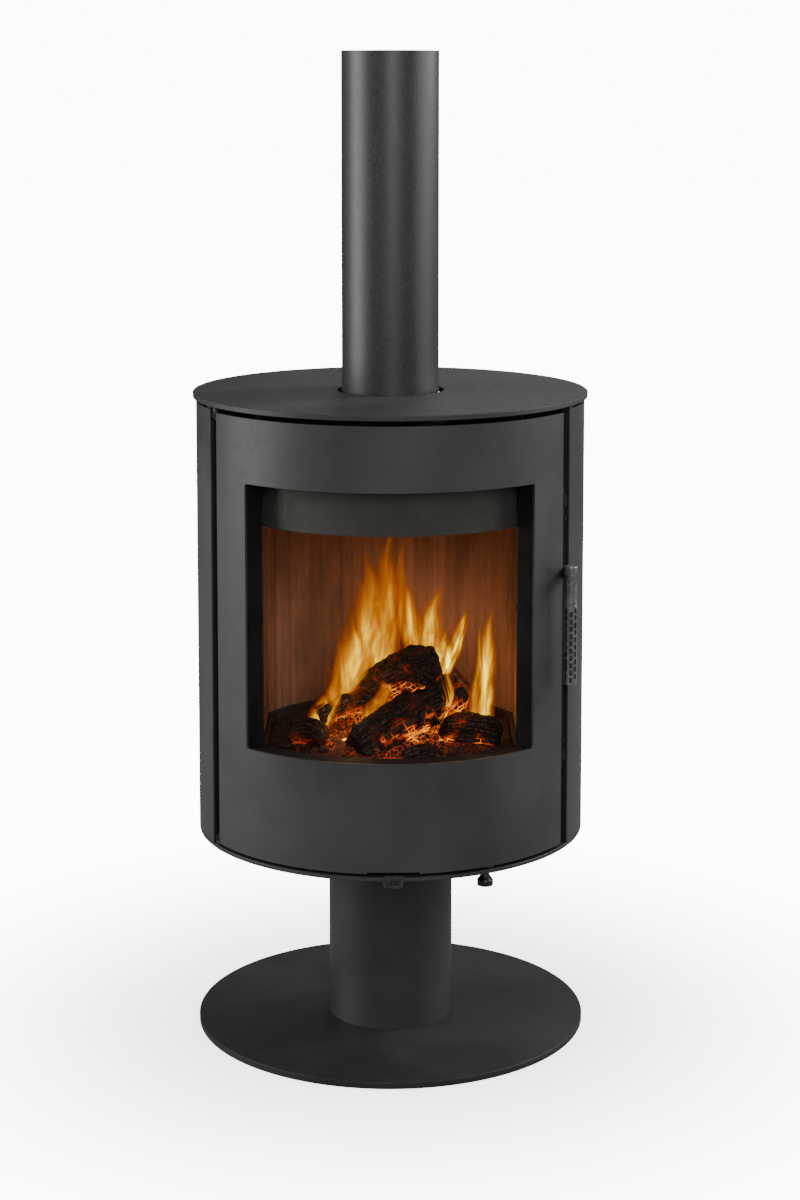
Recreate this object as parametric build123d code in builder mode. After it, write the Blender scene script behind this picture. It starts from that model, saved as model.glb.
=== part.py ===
"""A round wood burning stove on a pedestal.

A flat round base plate carries a steel column, and the column carries a drum-shaped body: a curved glazed
door at the front, curved cladding round the sides and back, a round top plate, and a flue pipe that rises
through it. Inside the cladding stands a steel firebox drum lined with fluted fireclay bricks.

Frame: millimetres, +Z up, the origin on the floor under the middle of the base plate. The door faces -Y.
A bearing is an angle round the stove's axis in degrees from the front (-Y), positive towards +X.
"""

from build123d import *
from math import asin, cos, degrees, radians, sin
import os

# --- Outside ------------------------------------------------------------------------------------------
TOTAL_HEIGHT = 1000.0            # floor to the top plate's upper face
BODY_RADIUS = 300.0              # outer face of the cladding and of the door
TOP_PLATE_RADIUS, TOP_PLATE_THICKNESS = 305.0, 8.0
TOP_PLATE_HOLE = 82.5
BASE_RADIUS, BASE_THICKNESS = 303.0, 10.0
BOTTOM_PLATE_UNDERSIDE, BOTTOM_PLATE_TOP = 314.0, 320.0
EDGE_BREAK, TOP_EDGE_BREAK = 0.8, 1.2        # small rounding on visible plate edges
CUT_MARGIN = 5.0                 # how far a cutting block reaches past the faces that it opens

# --- Pedestal -----------------------------------------------------------------------------------------
COLUMN_RADIUS, COLUMN_WALL = 96.85, 4.0      # 193.7 mm steel tube
FLANGE_THICKNESS = 8.0
BOLT_CIRCLE, BOLT_COUNT, BOLT_RADIUS = 75.0, 6, 4.2
BOLT_HEAD_RADIUS, BOLT_HEAD_HEIGHT, HEX_HEAD_HEIGHT = 8.0, 4.4, 6.0
BOLT_HEAD_GAP, BOLT_RECESS, BOLT_END = 0.5, 0.6, 2.0
AIR_TUBE_RADIUS, AIR_TUBE_WALL = 50.0, 2.0   # 100 mm outside-air duct
DUCT_HOLE_RADIUS = AIR_TUBE_RADIUS + 5.0     # in the base plate and both flanges

# --- Flue ---------------------------------------------------------------------------------------------
FLUE_RADIUS, FLUE_WALL = 75.0, 2.0           # 150 mm flue pipe
FLUE_BOTTOM, FLUE_TOP = 970.0, 1520.0
COLLAR_WALL, COLLAR_BOTTOM, COLLAR_TOP = 3.0, 940.0, 986.0
COLLAR_LEDGE = 5.0

# --- Cladding -----------------------------------------------------------------------------------------
CLADDING_THICKNESS = 2.5
CLADDING_BOTTOM, CLADDING_TOP = 321.0, 987.0
SIDE_PANEL_FRONT, SIDE_PANEL_REAR = 63.8, 149.6
REAR_PANEL_EDGE = 150.4
PILLAR_DEPTH, PILLAR_ARC = 13.5, 3.2
FRONT_PILLAR, REAR_PILLAR = 66.0, 150.0
SHIELD_RADIUS, SHIELD_THICKNESS, SHIELD_EDGE = 276.5, 1.5, 100.0
SHIELD_BOTTOM, SHIELD_TOP = 360.0, 940.0
VENT_HEIGHT, VENT_WIDTH, VENT_PITCH, VENTS_EACH_SIDE = 40.0, 6.0, 3.0, 7   # the pitch is a bearing step
SCREW_HEIGHTS, SCREW_INSET = (345.0, 654.0, 963.0), 1.0                    # the inset is a bearing step
SCREW_HEAD_RADIUS, SCREW_HEAD_HEIGHT, SCREW_RADIUS, SCREW_HOLE_RADIUS = 4.0, 2.0, 2.0, 2.1
SPACER_BEARINGS, SPACER_CIRCLE, SPACER_RADIUS = (-120, -60, 60, 120), 225.0, 8.0
STUD_BEARINGS, STUD_RADIUS, STUD_INSET = (110, 145, 180, 215, 250), 7.0, 60.0

# --- Door ---------------------------------------------------------------------------------------------
DOOR_THICKNESS, DOOR_BOTTOM, DOOR_TOP = 4.0, 325.0, 984.0
DOOR_EDGE = 59.5                 # bearing of the door's upright edges
DOOR_CORNER = 1.5
BETWEEN_EDGES = 52.0             # a bearing between the window's upright edges and the door's
WINDOW_EDGE, WINDOW_BOTTOM, WINDOW_TOP, WINDOW_CORNER = 45.3, 489.0, 887.0, 4.0
NOTCH_BEARING, NOTCH_WIDTH, NOTCH_HEIGHT = 1.0, 77.0, 2.5
FRAME_EDGE, FRAME_BOTTOM, FRAME_TOP = 57.5, 335.0, 975.0
FRAME_REAR, FRAME_SHEET = 266.5, 3.0
JAMB_ARC = 0.6                   # bearing step that is one frame sheet thick
GLASS_INNER, GLASS_OUTER, GLASS_EDGE = 261.0, 265.0, 47.5
GLASS_BOTTOM, GLASS_TOP = 480.0, 896.0
SEAL_EDGE, SEAL_BOTTOM, SEAL_TOP = 52.75, 442.0, 910.0
SEAL_WIDTH, SEAL_INNER = 12.0, 256.0
CLIP_INNER, CLIP_HEIGHT, CLIP_SEAT_GAP = 258.5, 20.0, 0.05
CLIP_START, CLIP_STEP, CLIP_END = 46.8, 48.1, 50.6       # bearings of the clip's tongue, step and foot
CLIP_BEARING, CLIP_HEIGHTS = 49.4, (520.0, 688.0, 856.0)
CLIP_HOLE_RADIUS, CLIP_HEAD_RADIUS, CLIP_HEAD_HEIGHT, CLIP_SCREW_RADIUS = 2.0, 3.8, 1.8, 1.95

# --- Firebox ------------------------------------------------------------------------------------------
SHELL_RADIUS, SHELL_WALL = 255.5, 3.5
SHELL_BOTTOM, SHELL_TOP = 345.0, 955.0
MOUTH_EDGE, MOUTH_BOTTOM, MOUTH_TOP = 48.6, 455.0, 816.0
PLATE_THICKNESS = 4.0
FLOOR_BOTTOM = 432.0
LINING_OUTER, LINING_INNER, LINING_FLAT = 251.0, 222.0, 197.0
LINING_TOP = 850.0
FLUTES, FLUTE_RADIUS, FLUTE_DEPTH = 27, 16.0, 2.4        # shallow upright scallops round the back
FOOT_BEARINGS, FOOT_INNER, FOOT_ARC = (-118, -62, 62, 118), 232.0, 3.0
BACK_BRICKS, BRICK_JOINT = 3, 0.4
BAFFLE_THICKNESS, BAFFLE_FRONT = 18.0, -120.0
BASIN_FLOOR, BASIN_RIM, BASIN_WALL, BASIN_GAP, BASIN_EDGE = 10.0, 462.0, 7.0, 0.5, 1.5
GRATE_RADIUS, ASH_HOLE_RADIUS, ASH_PAN_RADIUS = 101.5, 97.0, 94.0
GRATE_BARS, GRATE_SLOT_WIDTH, GRATE_SLOT_PITCH, GRATE_RIM = 8, 9.0, 21.6, 12.0
ASH_PAN_HEIGHT, ASH_PAN_WALL = 74.0, 1.5

# --- Hinge, latch and handle --------------------------------------------------------------------------
RUNNING_CLEARANCE = 0.05
HINGE_RADIUS, HINGE_BEARING = 293.0, -61.65
PIN_RADIUS, PIN_SHOULDER, PIN_END, KNUCKLE_RADIUS, KNUCKLE_HEIGHT, KNUCKLE_GAP = 4.0, 6.3, 2.0, 6.5, 8.0, 0.4
LEAF_TIP, LEAF_TIP_RADIUS, LEAF_ROOT, LEAF_ROOT_RADIUS = (288.5, -61.4), 4.5, (284.0, -55.0), 9.0
LEAF_SPAN = (274.0, 295.0, -56.5, -48.0)     # radii and bearings of the leaf on the frame's end
ROD_SEAT, ROD_BEARING, ROD_RADIUS = 291.0, 62.05, 5.0
ROD_BOTTOM, ROD_TOP = 440.0, 870.0
HOOK_HEIGHTS, HOOK_THICKNESS, HOOK_TIP, HOOK_TIP_RADIUS = (480.0, 822.0), 8.0, (276.0, 62.2), 3.5
KEEPER_INNER, KEEPER_START, KEEPER_HALF_HEIGHT = 268.0, 63.3, 12.0
BUSH_HEIGHTS, BUSH_THICKNESS, BUSH_RADIUS = (452.0, 846.0), 12.0, 8.0
BUSH_ROOT, BUSH_ROOT_RADIUS, BUSH_SPAN = (285.0, 59.2), 5.5, (279.0, 291.0, FRAME_EDGE, 59.5)
COLLAR_HEIGHT, COLLAR_GAP = 5.0, 0.4
GRIP_X, GRIP_Y, GRIP_RADIUS = 268.6, -186.0, 10.0
GRIP_BOTTOM, GRIP_SPLIT, GRIP_TOP = 580.0, 701.6, 759.4
GRIP_WALL, GRIP_SEAM, GRIP_CAP_END, GRIP_SLEEVE_END = 1.6, 0.6, 2.0, 1.2
CAP_CROWN, CAP_FOOT, SLEEVE_EDGE = 1.4, 0.4, 0.5         # roundings
ARM_CENTRE, ARM_HEIGHT, ARM_THICKNESS = 742.0, 16.0, 6.0
ARM_ELBOW = (263.5, -150.0)      # the arm clears the door's edge here on its way to the grip
SLEEVE_ROWS, SLEEVE_COLUMNS, SLOT_LENGTH, SLOT_WIDTH = 10, 8, 8.6, 4.0

# --- Air controls -------------------------------------------------------------------------------------
PORTS, PORT_WIDTH, PORT_BOTTOM, PORT_TOP = 20, 8.0, 328.0, 337.0
VALVE_COLLAR_RADIUS, VALVE_GAP, SLEEVE_WALL, SLEEVE_TOP = 52.0, 0.3, 2.5, 340.0
LEVER_BOTTOM, LEVER_TOP, LEVER_WIDTH, LEVER_HUB = 321.0, 324.0, 14.0, 62.0
TAB_INNER, TAB_THICKNESS, TAB_WIDTH, TAB_BOTTOM = 301.0, 3.5, 29.0, 309.0
LOOP_REACH, LOOP_THICKNESS, LOOP_RIM, LOOP_RIB = 315.5, 4.0, 3.6, 3.0    # the finger loop on the tab's foot
KNOB_X, KNOB_Y, KNOB_RADIUS, STEM_RADIUS = 141.0, -245.0, 12.0, 6.2
SLIDE_TRAVEL = 40.0
SLIDE_WIDTH, SLIDE_PLATE_WIDTH, SLIDE_SHEET = 24.0, 40.0, 3.0
SLIDE_WEB_Y, SLIDE_REAR_Y, SLIDE_PLATE_BOTTOM = -199.0, -110.0, 341.0
AIR_SLOTS_Y, AIR_SLOT_WIDTH, AIR_SLOT_LENGTH = (-146.0, -120.0, -94.0), 10.0, 26.0
STEM_CLEARANCE = 0.8
RAIL_GAP, RAIL_THICKNESS, RAIL_LIP, RAIL_DROP = 0.4, 3.0, 3.2, 0.5
RAIL_FRONT, RAIL_REAR = -186.0, -68.0
KNOB_BOTTOM, KNOB_EDGE, KNOB_THROAT, KNOB_ROUND = 291.0, 301.0, 309.0, 2.0

TOP_PLATE_UNDERSIDE = TOTAL_HEIGHT - TOP_PLATE_THICKNESS
CLADDING_INNER = BODY_RADIUS - CLADDING_THICKNESS
DOOR_INNER = BODY_RADIUS - DOOR_THICKNESS
SHELL_INNER = SHELL_RADIUS - SHELL_WALL
FLOOR_TOP = FLOOR_BOTTOM + PLATE_THICKNESS
FRAME_FRONT = FRAME_REAR + FRAME_SHEET
PILLAR_INNER = CLADDING_INNER - PILLAR_DEPTH

os.makedirs("parts", exist_ok=True)


def at(radius, bearing):
    """The point (x, y) at a radius from the stove's axis on a bearing from the front."""
    return (radius * sin(radians(bearing)), -radius * cos(radians(bearing)))


def outwards(bearing):
    """The horizontal direction that points away from the stove's axis on a bearing."""
    return (sin(radians(bearing)), -cos(radians(bearing)), 0)


def radial_plane(bearing, radius, z):
    """A plane at a radius and height that faces outwards on a bearing, with its local X upwards."""
    x, y = at(radius, bearing)
    return Plane(origin=(x, y, z), x_dir=(0, 0, 1), z_dir=outwards(bearing))


def sector(inner, outer, start, end, mode=Mode.ADD):
    """Adds the part of a ring between two bearings to the sketch being built."""
    with BuildLine() as outline:
        rim = CenterArc((0, 0), outer, start - 90, end - start)
        bore = CenterArc((0, 0), inner, start - 90, end - start)
        Line(rim @ 0, bore @ 0)
        Line(rim @ 1, bore @ 1)
    make_face(outline.edges(), mode=mode)


def block(inner, outer, start, end, low, high, mode=Mode.ADD):
    """Adds or cuts a curved block between two radii, two bearings and two heights."""
    with BuildSketch(Plane.XY.offset(low)) as profile:
        sector(inner, outer, start, end)
    extrude(profile.sketch, amount=high - low, mode=mode)


def ring(inner, outer, low, high, mode=Mode.ADD):
    """Adds or cuts a full ring between two heights."""
    with BuildSketch(Plane.XY.offset(low)) as profile:
        Circle(outer)
        Circle(inner, mode=Mode.SUBTRACT)
    extrude(profile.sketch, amount=high - low, mode=mode)


def disc(radius, low, high, mode=Mode.ADD):
    """Adds or cuts a round plate about the stove's axis."""
    with BuildSketch(Plane.XY.offset(low)) as profile:
        Circle(radius)
    extrude(profile.sketch, amount=high - low, mode=mode)


def post(x, y, radius, low, high, mode=Mode.ADD):
    """Adds or cuts an upright round bar."""
    with BuildSketch(Plane.XY.offset(low)) as profile:
        with Locations((x, y)):
            Circle(radius)
    extrude(profile.sketch, amount=high - low, mode=mode)


def link(start, start_radius, end, end_radius, low, high, mode=Mode.ADD):
    """Adds a flat link: two round ends joined by their tangents."""
    with BuildSketch(Plane.XY.offset(low)) as profile:
        with Locations(start):
            Circle(start_radius)
        with Locations(end):
            Circle(end_radius)
        make_hull()
    extrude(profile.sketch, amount=high - low, mode=mode)


def bolt_ring(radius, low, high, mode=Mode.ADD, sides=0):
    """Adds or cuts the pedestal's ring of bolts, hexagonal where sides is six."""
    with BuildSketch(Plane.XY.offset(low)) as profile:
        with PolarLocations(BOLT_CIRCLE, BOLT_COUNT):
            if sides:
                RegularPolygon(radius, sides)
            else:
                Circle(radius)
    extrude(profile.sketch, amount=high - low, mode=mode)


def save(piece, node):
    """Labels a finished piece and writes it as one node."""
    piece.label = node
    export_step(piece, f"parts/{node}.step")


HINGE = at(HINGE_RADIUS, HINGE_BEARING)

# === Pedestal =========================================================================================
with BuildPart() as base_plate:
    disc(BASE_RADIUS, 0, BASE_THICKNESS)
    fillet(base_plate.edges().filter_by(GeomType.CIRCLE), EDGE_BREAK)
    disc(DUCT_HOLE_RADIUS, 0, BASE_THICKNESS, mode=Mode.SUBTRACT)
    bolt_ring(BOLT_RADIUS, 0, BASE_THICKNESS, mode=Mode.SUBTRACT)
    bolt_ring(BOLT_HEAD_RADIUS + BOLT_HEAD_GAP, 0, BOLT_HEAD_HEIGHT + BOLT_RECESS, mode=Mode.SUBTRACT)
save(base_plate.part, "base_plate")

with BuildPart() as pedestal_column:
    ring(COLUMN_RADIUS - COLUMN_WALL, COLUMN_RADIUS, BASE_THICKNESS, BOTTOM_PLATE_UNDERSIDE)
save(pedestal_column.part, "pedestal_column")

for flange_name, flange_bottom in (
    ("column_foot_flange", BASE_THICKNESS),
    ("column_head_flange", BOTTOM_PLATE_UNDERSIDE - FLANGE_THICKNESS),
):
    with BuildPart() as column_flange:
        flange_top = flange_bottom + FLANGE_THICKNESS
        ring(DUCT_HOLE_RADIUS, COLUMN_RADIUS - COLUMN_WALL, flange_bottom, flange_top)
        bolt_ring(BOLT_RADIUS, flange_bottom, flange_top, mode=Mode.SUBTRACT)
    save(column_flange.part, flange_name)

with BuildPart() as foot_bolts:
    bolt_ring(BOLT_HEAD_RADIUS, BOLT_RECESS, BOLT_HEAD_HEIGHT + BOLT_RECESS)
    bolt_ring(BOLT_RADIUS, BOLT_HEAD_HEIGHT + BOLT_RECESS, BASE_THICKNESS + FLANGE_THICKNESS + BOLT_END)
save(foot_bolts.part, "foot_bolts")

with BuildPart() as head_bolts:
    bolt_ring(BOLT_RADIUS, BOTTOM_PLATE_UNDERSIDE - FLANGE_THICKNESS - BOLT_END, BOTTOM_PLATE_TOP)
    bolt_ring(BOLT_HEAD_RADIUS, BOTTOM_PLATE_TOP, BOTTOM_PLATE_TOP + HEX_HEAD_HEIGHT, sides=6)
save(head_bolts.part, "head_bolts")

with BuildPart() as air_tube:
    ring(AIR_TUBE_RADIUS - AIR_TUBE_WALL, AIR_TUBE_RADIUS, 0, BOTTOM_PLATE_UNDERSIDE)
save(air_tube.part, "air_tube")

# === Bottom plate, uprights and top plate =============================================================
with BuildPart() as bottom_plate:
    disc(BODY_RADIUS, BOTTOM_PLATE_UNDERSIDE, BOTTOM_PLATE_TOP)
    fillet(bottom_plate.edges().filter_by(GeomType.CIRCLE), EDGE_BREAK)
    disc(AIR_TUBE_RADIUS - AIR_TUBE_WALL, BOTTOM_PLATE_UNDERSIDE, BOTTOM_PLATE_TOP, mode=Mode.SUBTRACT)
    bolt_ring(BOLT_RADIUS, BOTTOM_PLATE_UNDERSIDE, BOTTOM_PLATE_TOP, mode=Mode.SUBTRACT)
    with BuildSketch(Plane.XY.offset(BOTTOM_PLATE_UNDERSIDE)):
        with Locations((KNOB_X, KNOB_Y + SLIDE_TRAVEL / 2)):
            stem_width = 2 * (STEM_RADIUS + STEM_CLEARANCE)
            SlotOverall(SLIDE_TRAVEL + stem_width, stem_width, rotation=90)
    extrude(amount=BOTTOM_PLATE_TOP - BOTTOM_PLATE_UNDERSIDE, mode=Mode.SUBTRACT)
save(bottom_plate.part, "bottom_plate")

with BuildPart() as cladding_pillars:
    for side in (-1, 1):
        for bearing in (FRONT_PILLAR, REAR_PILLAR):
            start, end = sorted((side * (bearing - PILLAR_ARC / 2), side * (bearing + PILLAR_ARC / 2)))
            block(PILLAR_INNER, CLADDING_INNER, start, end, BOTTOM_PLATE_TOP, TOP_PLATE_UNDERSIDE)
save(cladding_pillars.part, "cladding_pillars")

with BuildPart() as top_plate:
    disc(TOP_PLATE_RADIUS, TOP_PLATE_UNDERSIDE, TOTAL_HEIGHT)
    disc(TOP_PLATE_HOLE, TOP_PLATE_UNDERSIDE, TOTAL_HEIGHT, mode=Mode.SUBTRACT)
    fillet(top_plate.edges().filter_by(GeomType.CIRCLE), TOP_EDGE_BREAK)
save(top_plate.part, "top_plate")

# === Cladding =========================================================================================
for panel_name, side in (("side_panel_right", 1), ("side_panel_left", -1)):
    start, end = sorted((side * SIDE_PANEL_FRONT, side * SIDE_PANEL_REAR))
    with BuildPart() as side_panel:
        block(CLADDING_INNER, BODY_RADIUS, start, end, CLADDING_BOTTOM, CLADDING_TOP)
        fillet(side_panel.edges().filter_by(Axis.Z).group_by(SortBy.DISTANCE)[-1], EDGE_BREAK)
    save(side_panel.part, panel_name)

REAR_SCREW_BEARINGS = (REAR_PANEL_EDGE + SCREW_INSET, 360 - REAR_PANEL_EDGE - SCREW_INSET)
REAR_SCREWS = [(bearing, height) for bearing in REAR_SCREW_BEARINGS for height in SCREW_HEIGHTS]
with BuildPart() as rear_panel:
    block(CLADDING_INNER, BODY_RADIUS, REAR_PANEL_EDGE, 360 - REAR_PANEL_EDGE, CLADDING_BOTTOM, CLADDING_TOP)
    vent_planes = []
    for height in (CLADDING_BOTTOM + VENT_HEIGHT, CLADDING_TOP - VENT_HEIGHT):
        for step in range(-VENTS_EACH_SIDE, VENTS_EACH_SIDE + 1):
            vent_planes.append(radial_plane(180 + step * VENT_PITCH, CLADDING_INNER - CUT_MARGIN, height))
    with BuildSketch(*vent_planes):
        SlotOverall(VENT_HEIGHT, VENT_WIDTH)
    extrude(amount=CLADDING_THICKNESS + 2 * CUT_MARGIN, mode=Mode.SUBTRACT)
    with BuildSketch(*[radial_plane(b, CLADDING_INNER - CUT_MARGIN, z) for b, z in REAR_SCREWS]):
        Circle(SCREW_HOLE_RADIUS)
    extrude(amount=CLADDING_THICKNESS + 2 * CUT_MARGIN, mode=Mode.SUBTRACT)
save(rear_panel.part, "rear_panel")

with BuildPart() as panel_screws:
    with BuildSketch(*[radial_plane(b, BODY_RADIUS, z) for b, z in REAR_SCREWS]):
        Circle(SCREW_HEAD_RADIUS)
    extrude(amount=SCREW_HEAD_HEIGHT)
    head_rims = panel_screws.edges().filter_by(GeomType.CIRCLE).group_by(SortBy.DISTANCE)[-1]
    fillet(head_rims, SCREW_HEAD_HEIGHT / 2)
    with BuildSketch(*[radial_plane(b, BODY_RADIUS, z) for b, z in REAR_SCREWS]):
        Circle(SCREW_RADIUS)
    extrude(amount=-CLADDING_THICKNESS)
save(panel_screws.part, "panel_screws")

# === Firebox ==========================================================================================
with BuildPart() as firebox_feet:
    for bearing in FOOT_BEARINGS:
        start, end = bearing - FOOT_ARC, bearing + FOOT_ARC
        block(FOOT_INNER, SHELL_RADIUS, start, end, BOTTOM_PLATE_TOP, SHELL_BOTTOM)
save(firebox_feet.part, "firebox_feet")

with BuildPart() as firebox_base:
    disc(SHELL_INNER, SHELL_BOTTOM, SHELL_BOTTOM + PLATE_THICKNESS)
    with BuildSketch(Plane.XY.offset(SHELL_BOTTOM)):
        for slot_y in AIR_SLOTS_Y:
            with Locations((KNOB_X, slot_y)):
                SlotOverall(AIR_SLOT_LENGTH, AIR_SLOT_WIDTH)
    extrude(amount=PLATE_THICKNESS, mode=Mode.SUBTRACT)
save(firebox_base.part, "firebox_base")

with BuildPart() as firebox_shell:
    ring(SHELL_INNER, SHELL_RADIUS, SHELL_BOTTOM, SHELL_TOP)
    block(
        SHELL_INNER - CUT_MARGIN, SHELL_RADIUS + CUT_MARGIN, -MOUTH_EDGE, MOUTH_EDGE, MOUTH_BOTTOM, MOUTH_TOP,
        Mode.SUBTRACT,
    )
save(firebox_shell.part, "firebox_shell")

with BuildPart() as firebox_floor:
    ring(ASH_HOLE_RADIUS, SHELL_INNER, FLOOR_BOTTOM, FLOOR_TOP)
save(firebox_floor.part, "firebox_floor")

with BuildPart() as firebox_roof:
    ring(FLUE_RADIUS + COLLAR_WALL, SHELL_RADIUS, SHELL_TOP, SHELL_TOP + PLATE_THICKNESS)
save(firebox_roof.part, "firebox_roof")

with BuildPart() as top_spacers:
    for bearing in SPACER_BEARINGS:
        post(*at(SPACER_CIRCLE, bearing), SPACER_RADIUS, SHELL_TOP + PLATE_THICKNESS, TOP_PLATE_UNDERSIDE)
save(top_spacers.part, "top_spacers")

with BuildPart() as flue_collar:
    ring(FLUE_RADIUS, FLUE_RADIUS + COLLAR_WALL, COLLAR_BOTTOM, COLLAR_TOP)
    ring(FLUE_RADIUS - COLLAR_LEDGE, FLUE_RADIUS, FLUE_BOTTOM - COLLAR_LEDGE, FLUE_BOTTOM)
save(flue_collar.part, "flue_collar")

with BuildPart() as flue_pipe:
    ring(FLUE_RADIUS - FLUE_WALL, FLUE_RADIUS, FLUE_BOTTOM, FLUE_TOP)
save(flue_pipe.part, "flue_pipe")

# --- Brick lining: a flat slab on each side and fluted bricks round the back --------------------------
BACK_START = 180 - degrees(asin(LINING_FLAT / LINING_INNER))   # bearing where the slab meets the back
BACK_SPAN = 360 - 2 * BACK_START

for brick_name, side in (("side_brick_right", 1), ("side_brick_left", -1)):
    with BuildPart() as side_brick:
        disc(LINING_OUTER, FLOOR_TOP, LINING_TOP)
        slab_depth = LINING_OUTER - LINING_FLAT
        slab_rear = -LINING_INNER * cos(radians(BACK_START)) - BRICK_JOINT
        with BuildSketch(Plane.XY.offset(FLOOR_TOP)):
            with Locations((side * (LINING_FLAT + slab_depth / 2), slab_rear - LINING_OUTER)):
                Rectangle(slab_depth, 2 * LINING_OUTER)
        extrude(amount=LINING_TOP - FLOOR_TOP, mode=Mode.INTERSECT)
    save(side_brick.part, brick_name)

BRICK_SPAN = BACK_SPAN / BACK_BRICKS
FLUTE_STEP = BACK_SPAN / FLUTES
for number in range(BACK_BRICKS):
    brick_start = BACK_START + number * BRICK_SPAN
    joint = degrees(BRICK_JOINT / LINING_INNER) / 2
    with BuildPart() as back_brick:
        start, end = brick_start + joint, brick_start + BRICK_SPAN - joint
        block(LINING_INNER, LINING_OUTER, start, end, FLOOR_TOP, LINING_TOP)
        flutes_here = FLUTES // BACK_BRICKS
        with BuildSketch(Plane.XY.offset(FLOOR_TOP)):
            for flute in range(flutes_here):
                bearing = brick_start + (flute + 0.5) * FLUTE_STEP
                with Locations(at(LINING_INNER - FLUTE_RADIUS + FLUTE_DEPTH, bearing)):
                    Circle(FLUTE_RADIUS)
        extrude(amount=LINING_TOP - FLOOR_TOP, mode=Mode.SUBTRACT)
    save(back_brick.part, f"back_brick_{number + 1}")

with BuildPart() as baffle_plate:
    disc(LINING_OUTER, LINING_TOP, LINING_TOP + BAFFLE_THICKNESS)
    with BuildSketch(Plane.XY.offset(LINING_TOP)):
        with Locations((0, BAFFLE_FRONT - LINING_OUTER)):
            Rectangle(2 * LINING_OUTER, 2 * LINING_OUTER)
    extrude(amount=BAFFLE_THICKNESS, mode=Mode.SUBTRACT)
save(baffle_plate.part, "baffle_plate")

# --- Fire basin: a cast tray with an upright rim that follows the foot of the lining ------------------
def basin_outline(inset):
    """Sketches the plan of the fire basin, held back from the lining and the shell by an inset."""
    Circle(LINING_INNER - inset)
    Rectangle(2 * (LINING_FLAT - inset), 2 * LINING_OUTER, mode=Mode.INTERSECT)


with BuildPart() as fire_basin:
    with BuildSketch(Plane.XY.offset(FLOOR_TOP)):
        basin_outline(BASIN_GAP)
    extrude(amount=BASIN_RIM - FLOOR_TOP)
    with BuildSketch(Plane.XY.offset(FLOOR_TOP + BASIN_FLOOR)):
        basin_outline(BASIN_GAP + BASIN_WALL)
    extrude(amount=BASIN_RIM - FLOOR_TOP - BASIN_FLOOR, mode=Mode.SUBTRACT)
    disc(GRATE_RADIUS + BASIN_GAP, FLOOR_TOP, FLOOR_TOP + BASIN_FLOOR, mode=Mode.SUBTRACT)
    fillet(fire_basin.faces().filter_by(Axis.Z).sort_by(Axis.Z)[-1].edges(), BASIN_EDGE)
save(fire_basin.part, "fire_basin")

with BuildPart() as fire_grate:
    disc(GRATE_RADIUS, FLOOR_TOP, FLOOR_TOP + BASIN_FLOOR)
    with BuildSketch(Plane.XY.offset(FLOOR_TOP)):
        for bar in range(GRATE_BARS):
            offset = (bar - (GRATE_BARS - 1) / 2) * GRATE_SLOT_PITCH
            half_chord = ((GRATE_RADIUS - GRATE_RIM) ** 2 - offset**2) ** 0.5
            with Locations((offset, 0)):
                SlotOverall(2 * half_chord, GRATE_SLOT_WIDTH, rotation=90)
    extrude(amount=BASIN_FLOOR, mode=Mode.SUBTRACT)
save(fire_grate.part, "fire_grate")

PAN_BOTTOM = SHELL_BOTTOM + PLATE_THICKNESS
with BuildPart() as ash_pan:
    disc(ASH_PAN_RADIUS, PAN_BOTTOM, PAN_BOTTOM + ASH_PAN_HEIGHT)
    disc(ASH_PAN_RADIUS - ASH_PAN_WALL, PAN_BOTTOM + ASH_PAN_WALL, PAN_BOTTOM + ASH_PAN_HEIGHT, Mode.SUBTRACT)
save(ash_pan.part, "ash_pan")

# --- Heat shield behind the firebox -------------------------------------------------------------------
with BuildPart() as heat_shield:
    shield_inner = SHIELD_RADIUS - SHIELD_THICKNESS
    block(shield_inner, SHIELD_RADIUS, SHIELD_EDGE, 360 - SHIELD_EDGE, SHIELD_BOTTOM, SHIELD_TOP)
save(heat_shield.part, "heat_shield")

STUD_HEIGHTS = (SHIELD_BOTTOM + STUD_INSET, SHIELD_TOP - STUD_INSET)
SHIELD_STUDS = [(bearing, height) for bearing in STUD_BEARINGS for height in STUD_HEIGHTS]
with BuildPart() as shield_spacers:
    with BuildSketch(*[radial_plane(b, SHELL_RADIUS - CUT_MARGIN, z) for b, z in SHIELD_STUDS]):
        Circle(STUD_RADIUS)
    extrude(amount=SHIELD_RADIUS - SHELL_RADIUS + 2 * CUT_MARGIN)
    disc(SHELL_RADIUS, SHIELD_BOTTOM, SHIELD_TOP, mode=Mode.SUBTRACT)
    disc(SHIELD_RADIUS - SHIELD_THICKNESS, SHIELD_BOTTOM, SHIELD_TOP, mode=Mode.INTERSECT)
save(shield_spacers.part, "shield_spacers")

# === Door =============================================================================================
with BuildPart() as door_skin:
    block(DOOR_INNER, BODY_RADIUS, -DOOR_EDGE, DOOR_EDGE, DOOR_BOTTOM, DOOR_TOP)
    block(
        DOOR_INNER - CUT_MARGIN, BODY_RADIUS + CUT_MARGIN, -WINDOW_EDGE, WINDOW_EDGE,
        WINDOW_BOTTOM, WINDOW_TOP, Mode.SUBTRACT,
    )
    divide = DOOR_INNER * sin(radians(BETWEEN_EDGES))
    across = [edge for edge in door_skin.edges() if abs(edge.length - DOOR_THICKNESS) < 0.01]
    fillet([edge for edge in across if abs(edge.center().X) < divide], WINDOW_CORNER)
    across = [edge for edge in door_skin.edges() if abs(edge.length - DOOR_THICKNESS) < 0.01]
    fillet([edge for edge in across if abs(edge.center().X) > divide], DOOR_CORNER)
    notch_half = degrees(NOTCH_WIDTH / 2 / BODY_RADIUS)
    block(
        DOOR_INNER - CUT_MARGIN, BODY_RADIUS + CUT_MARGIN, NOTCH_BEARING - notch_half,
        NOTCH_BEARING + notch_half, DOOR_BOTTOM - CUT_MARGIN, DOOR_BOTTOM + NOTCH_HEIGHT, Mode.SUBTRACT,
    )
save(door_skin.part, "door_skin")

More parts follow.
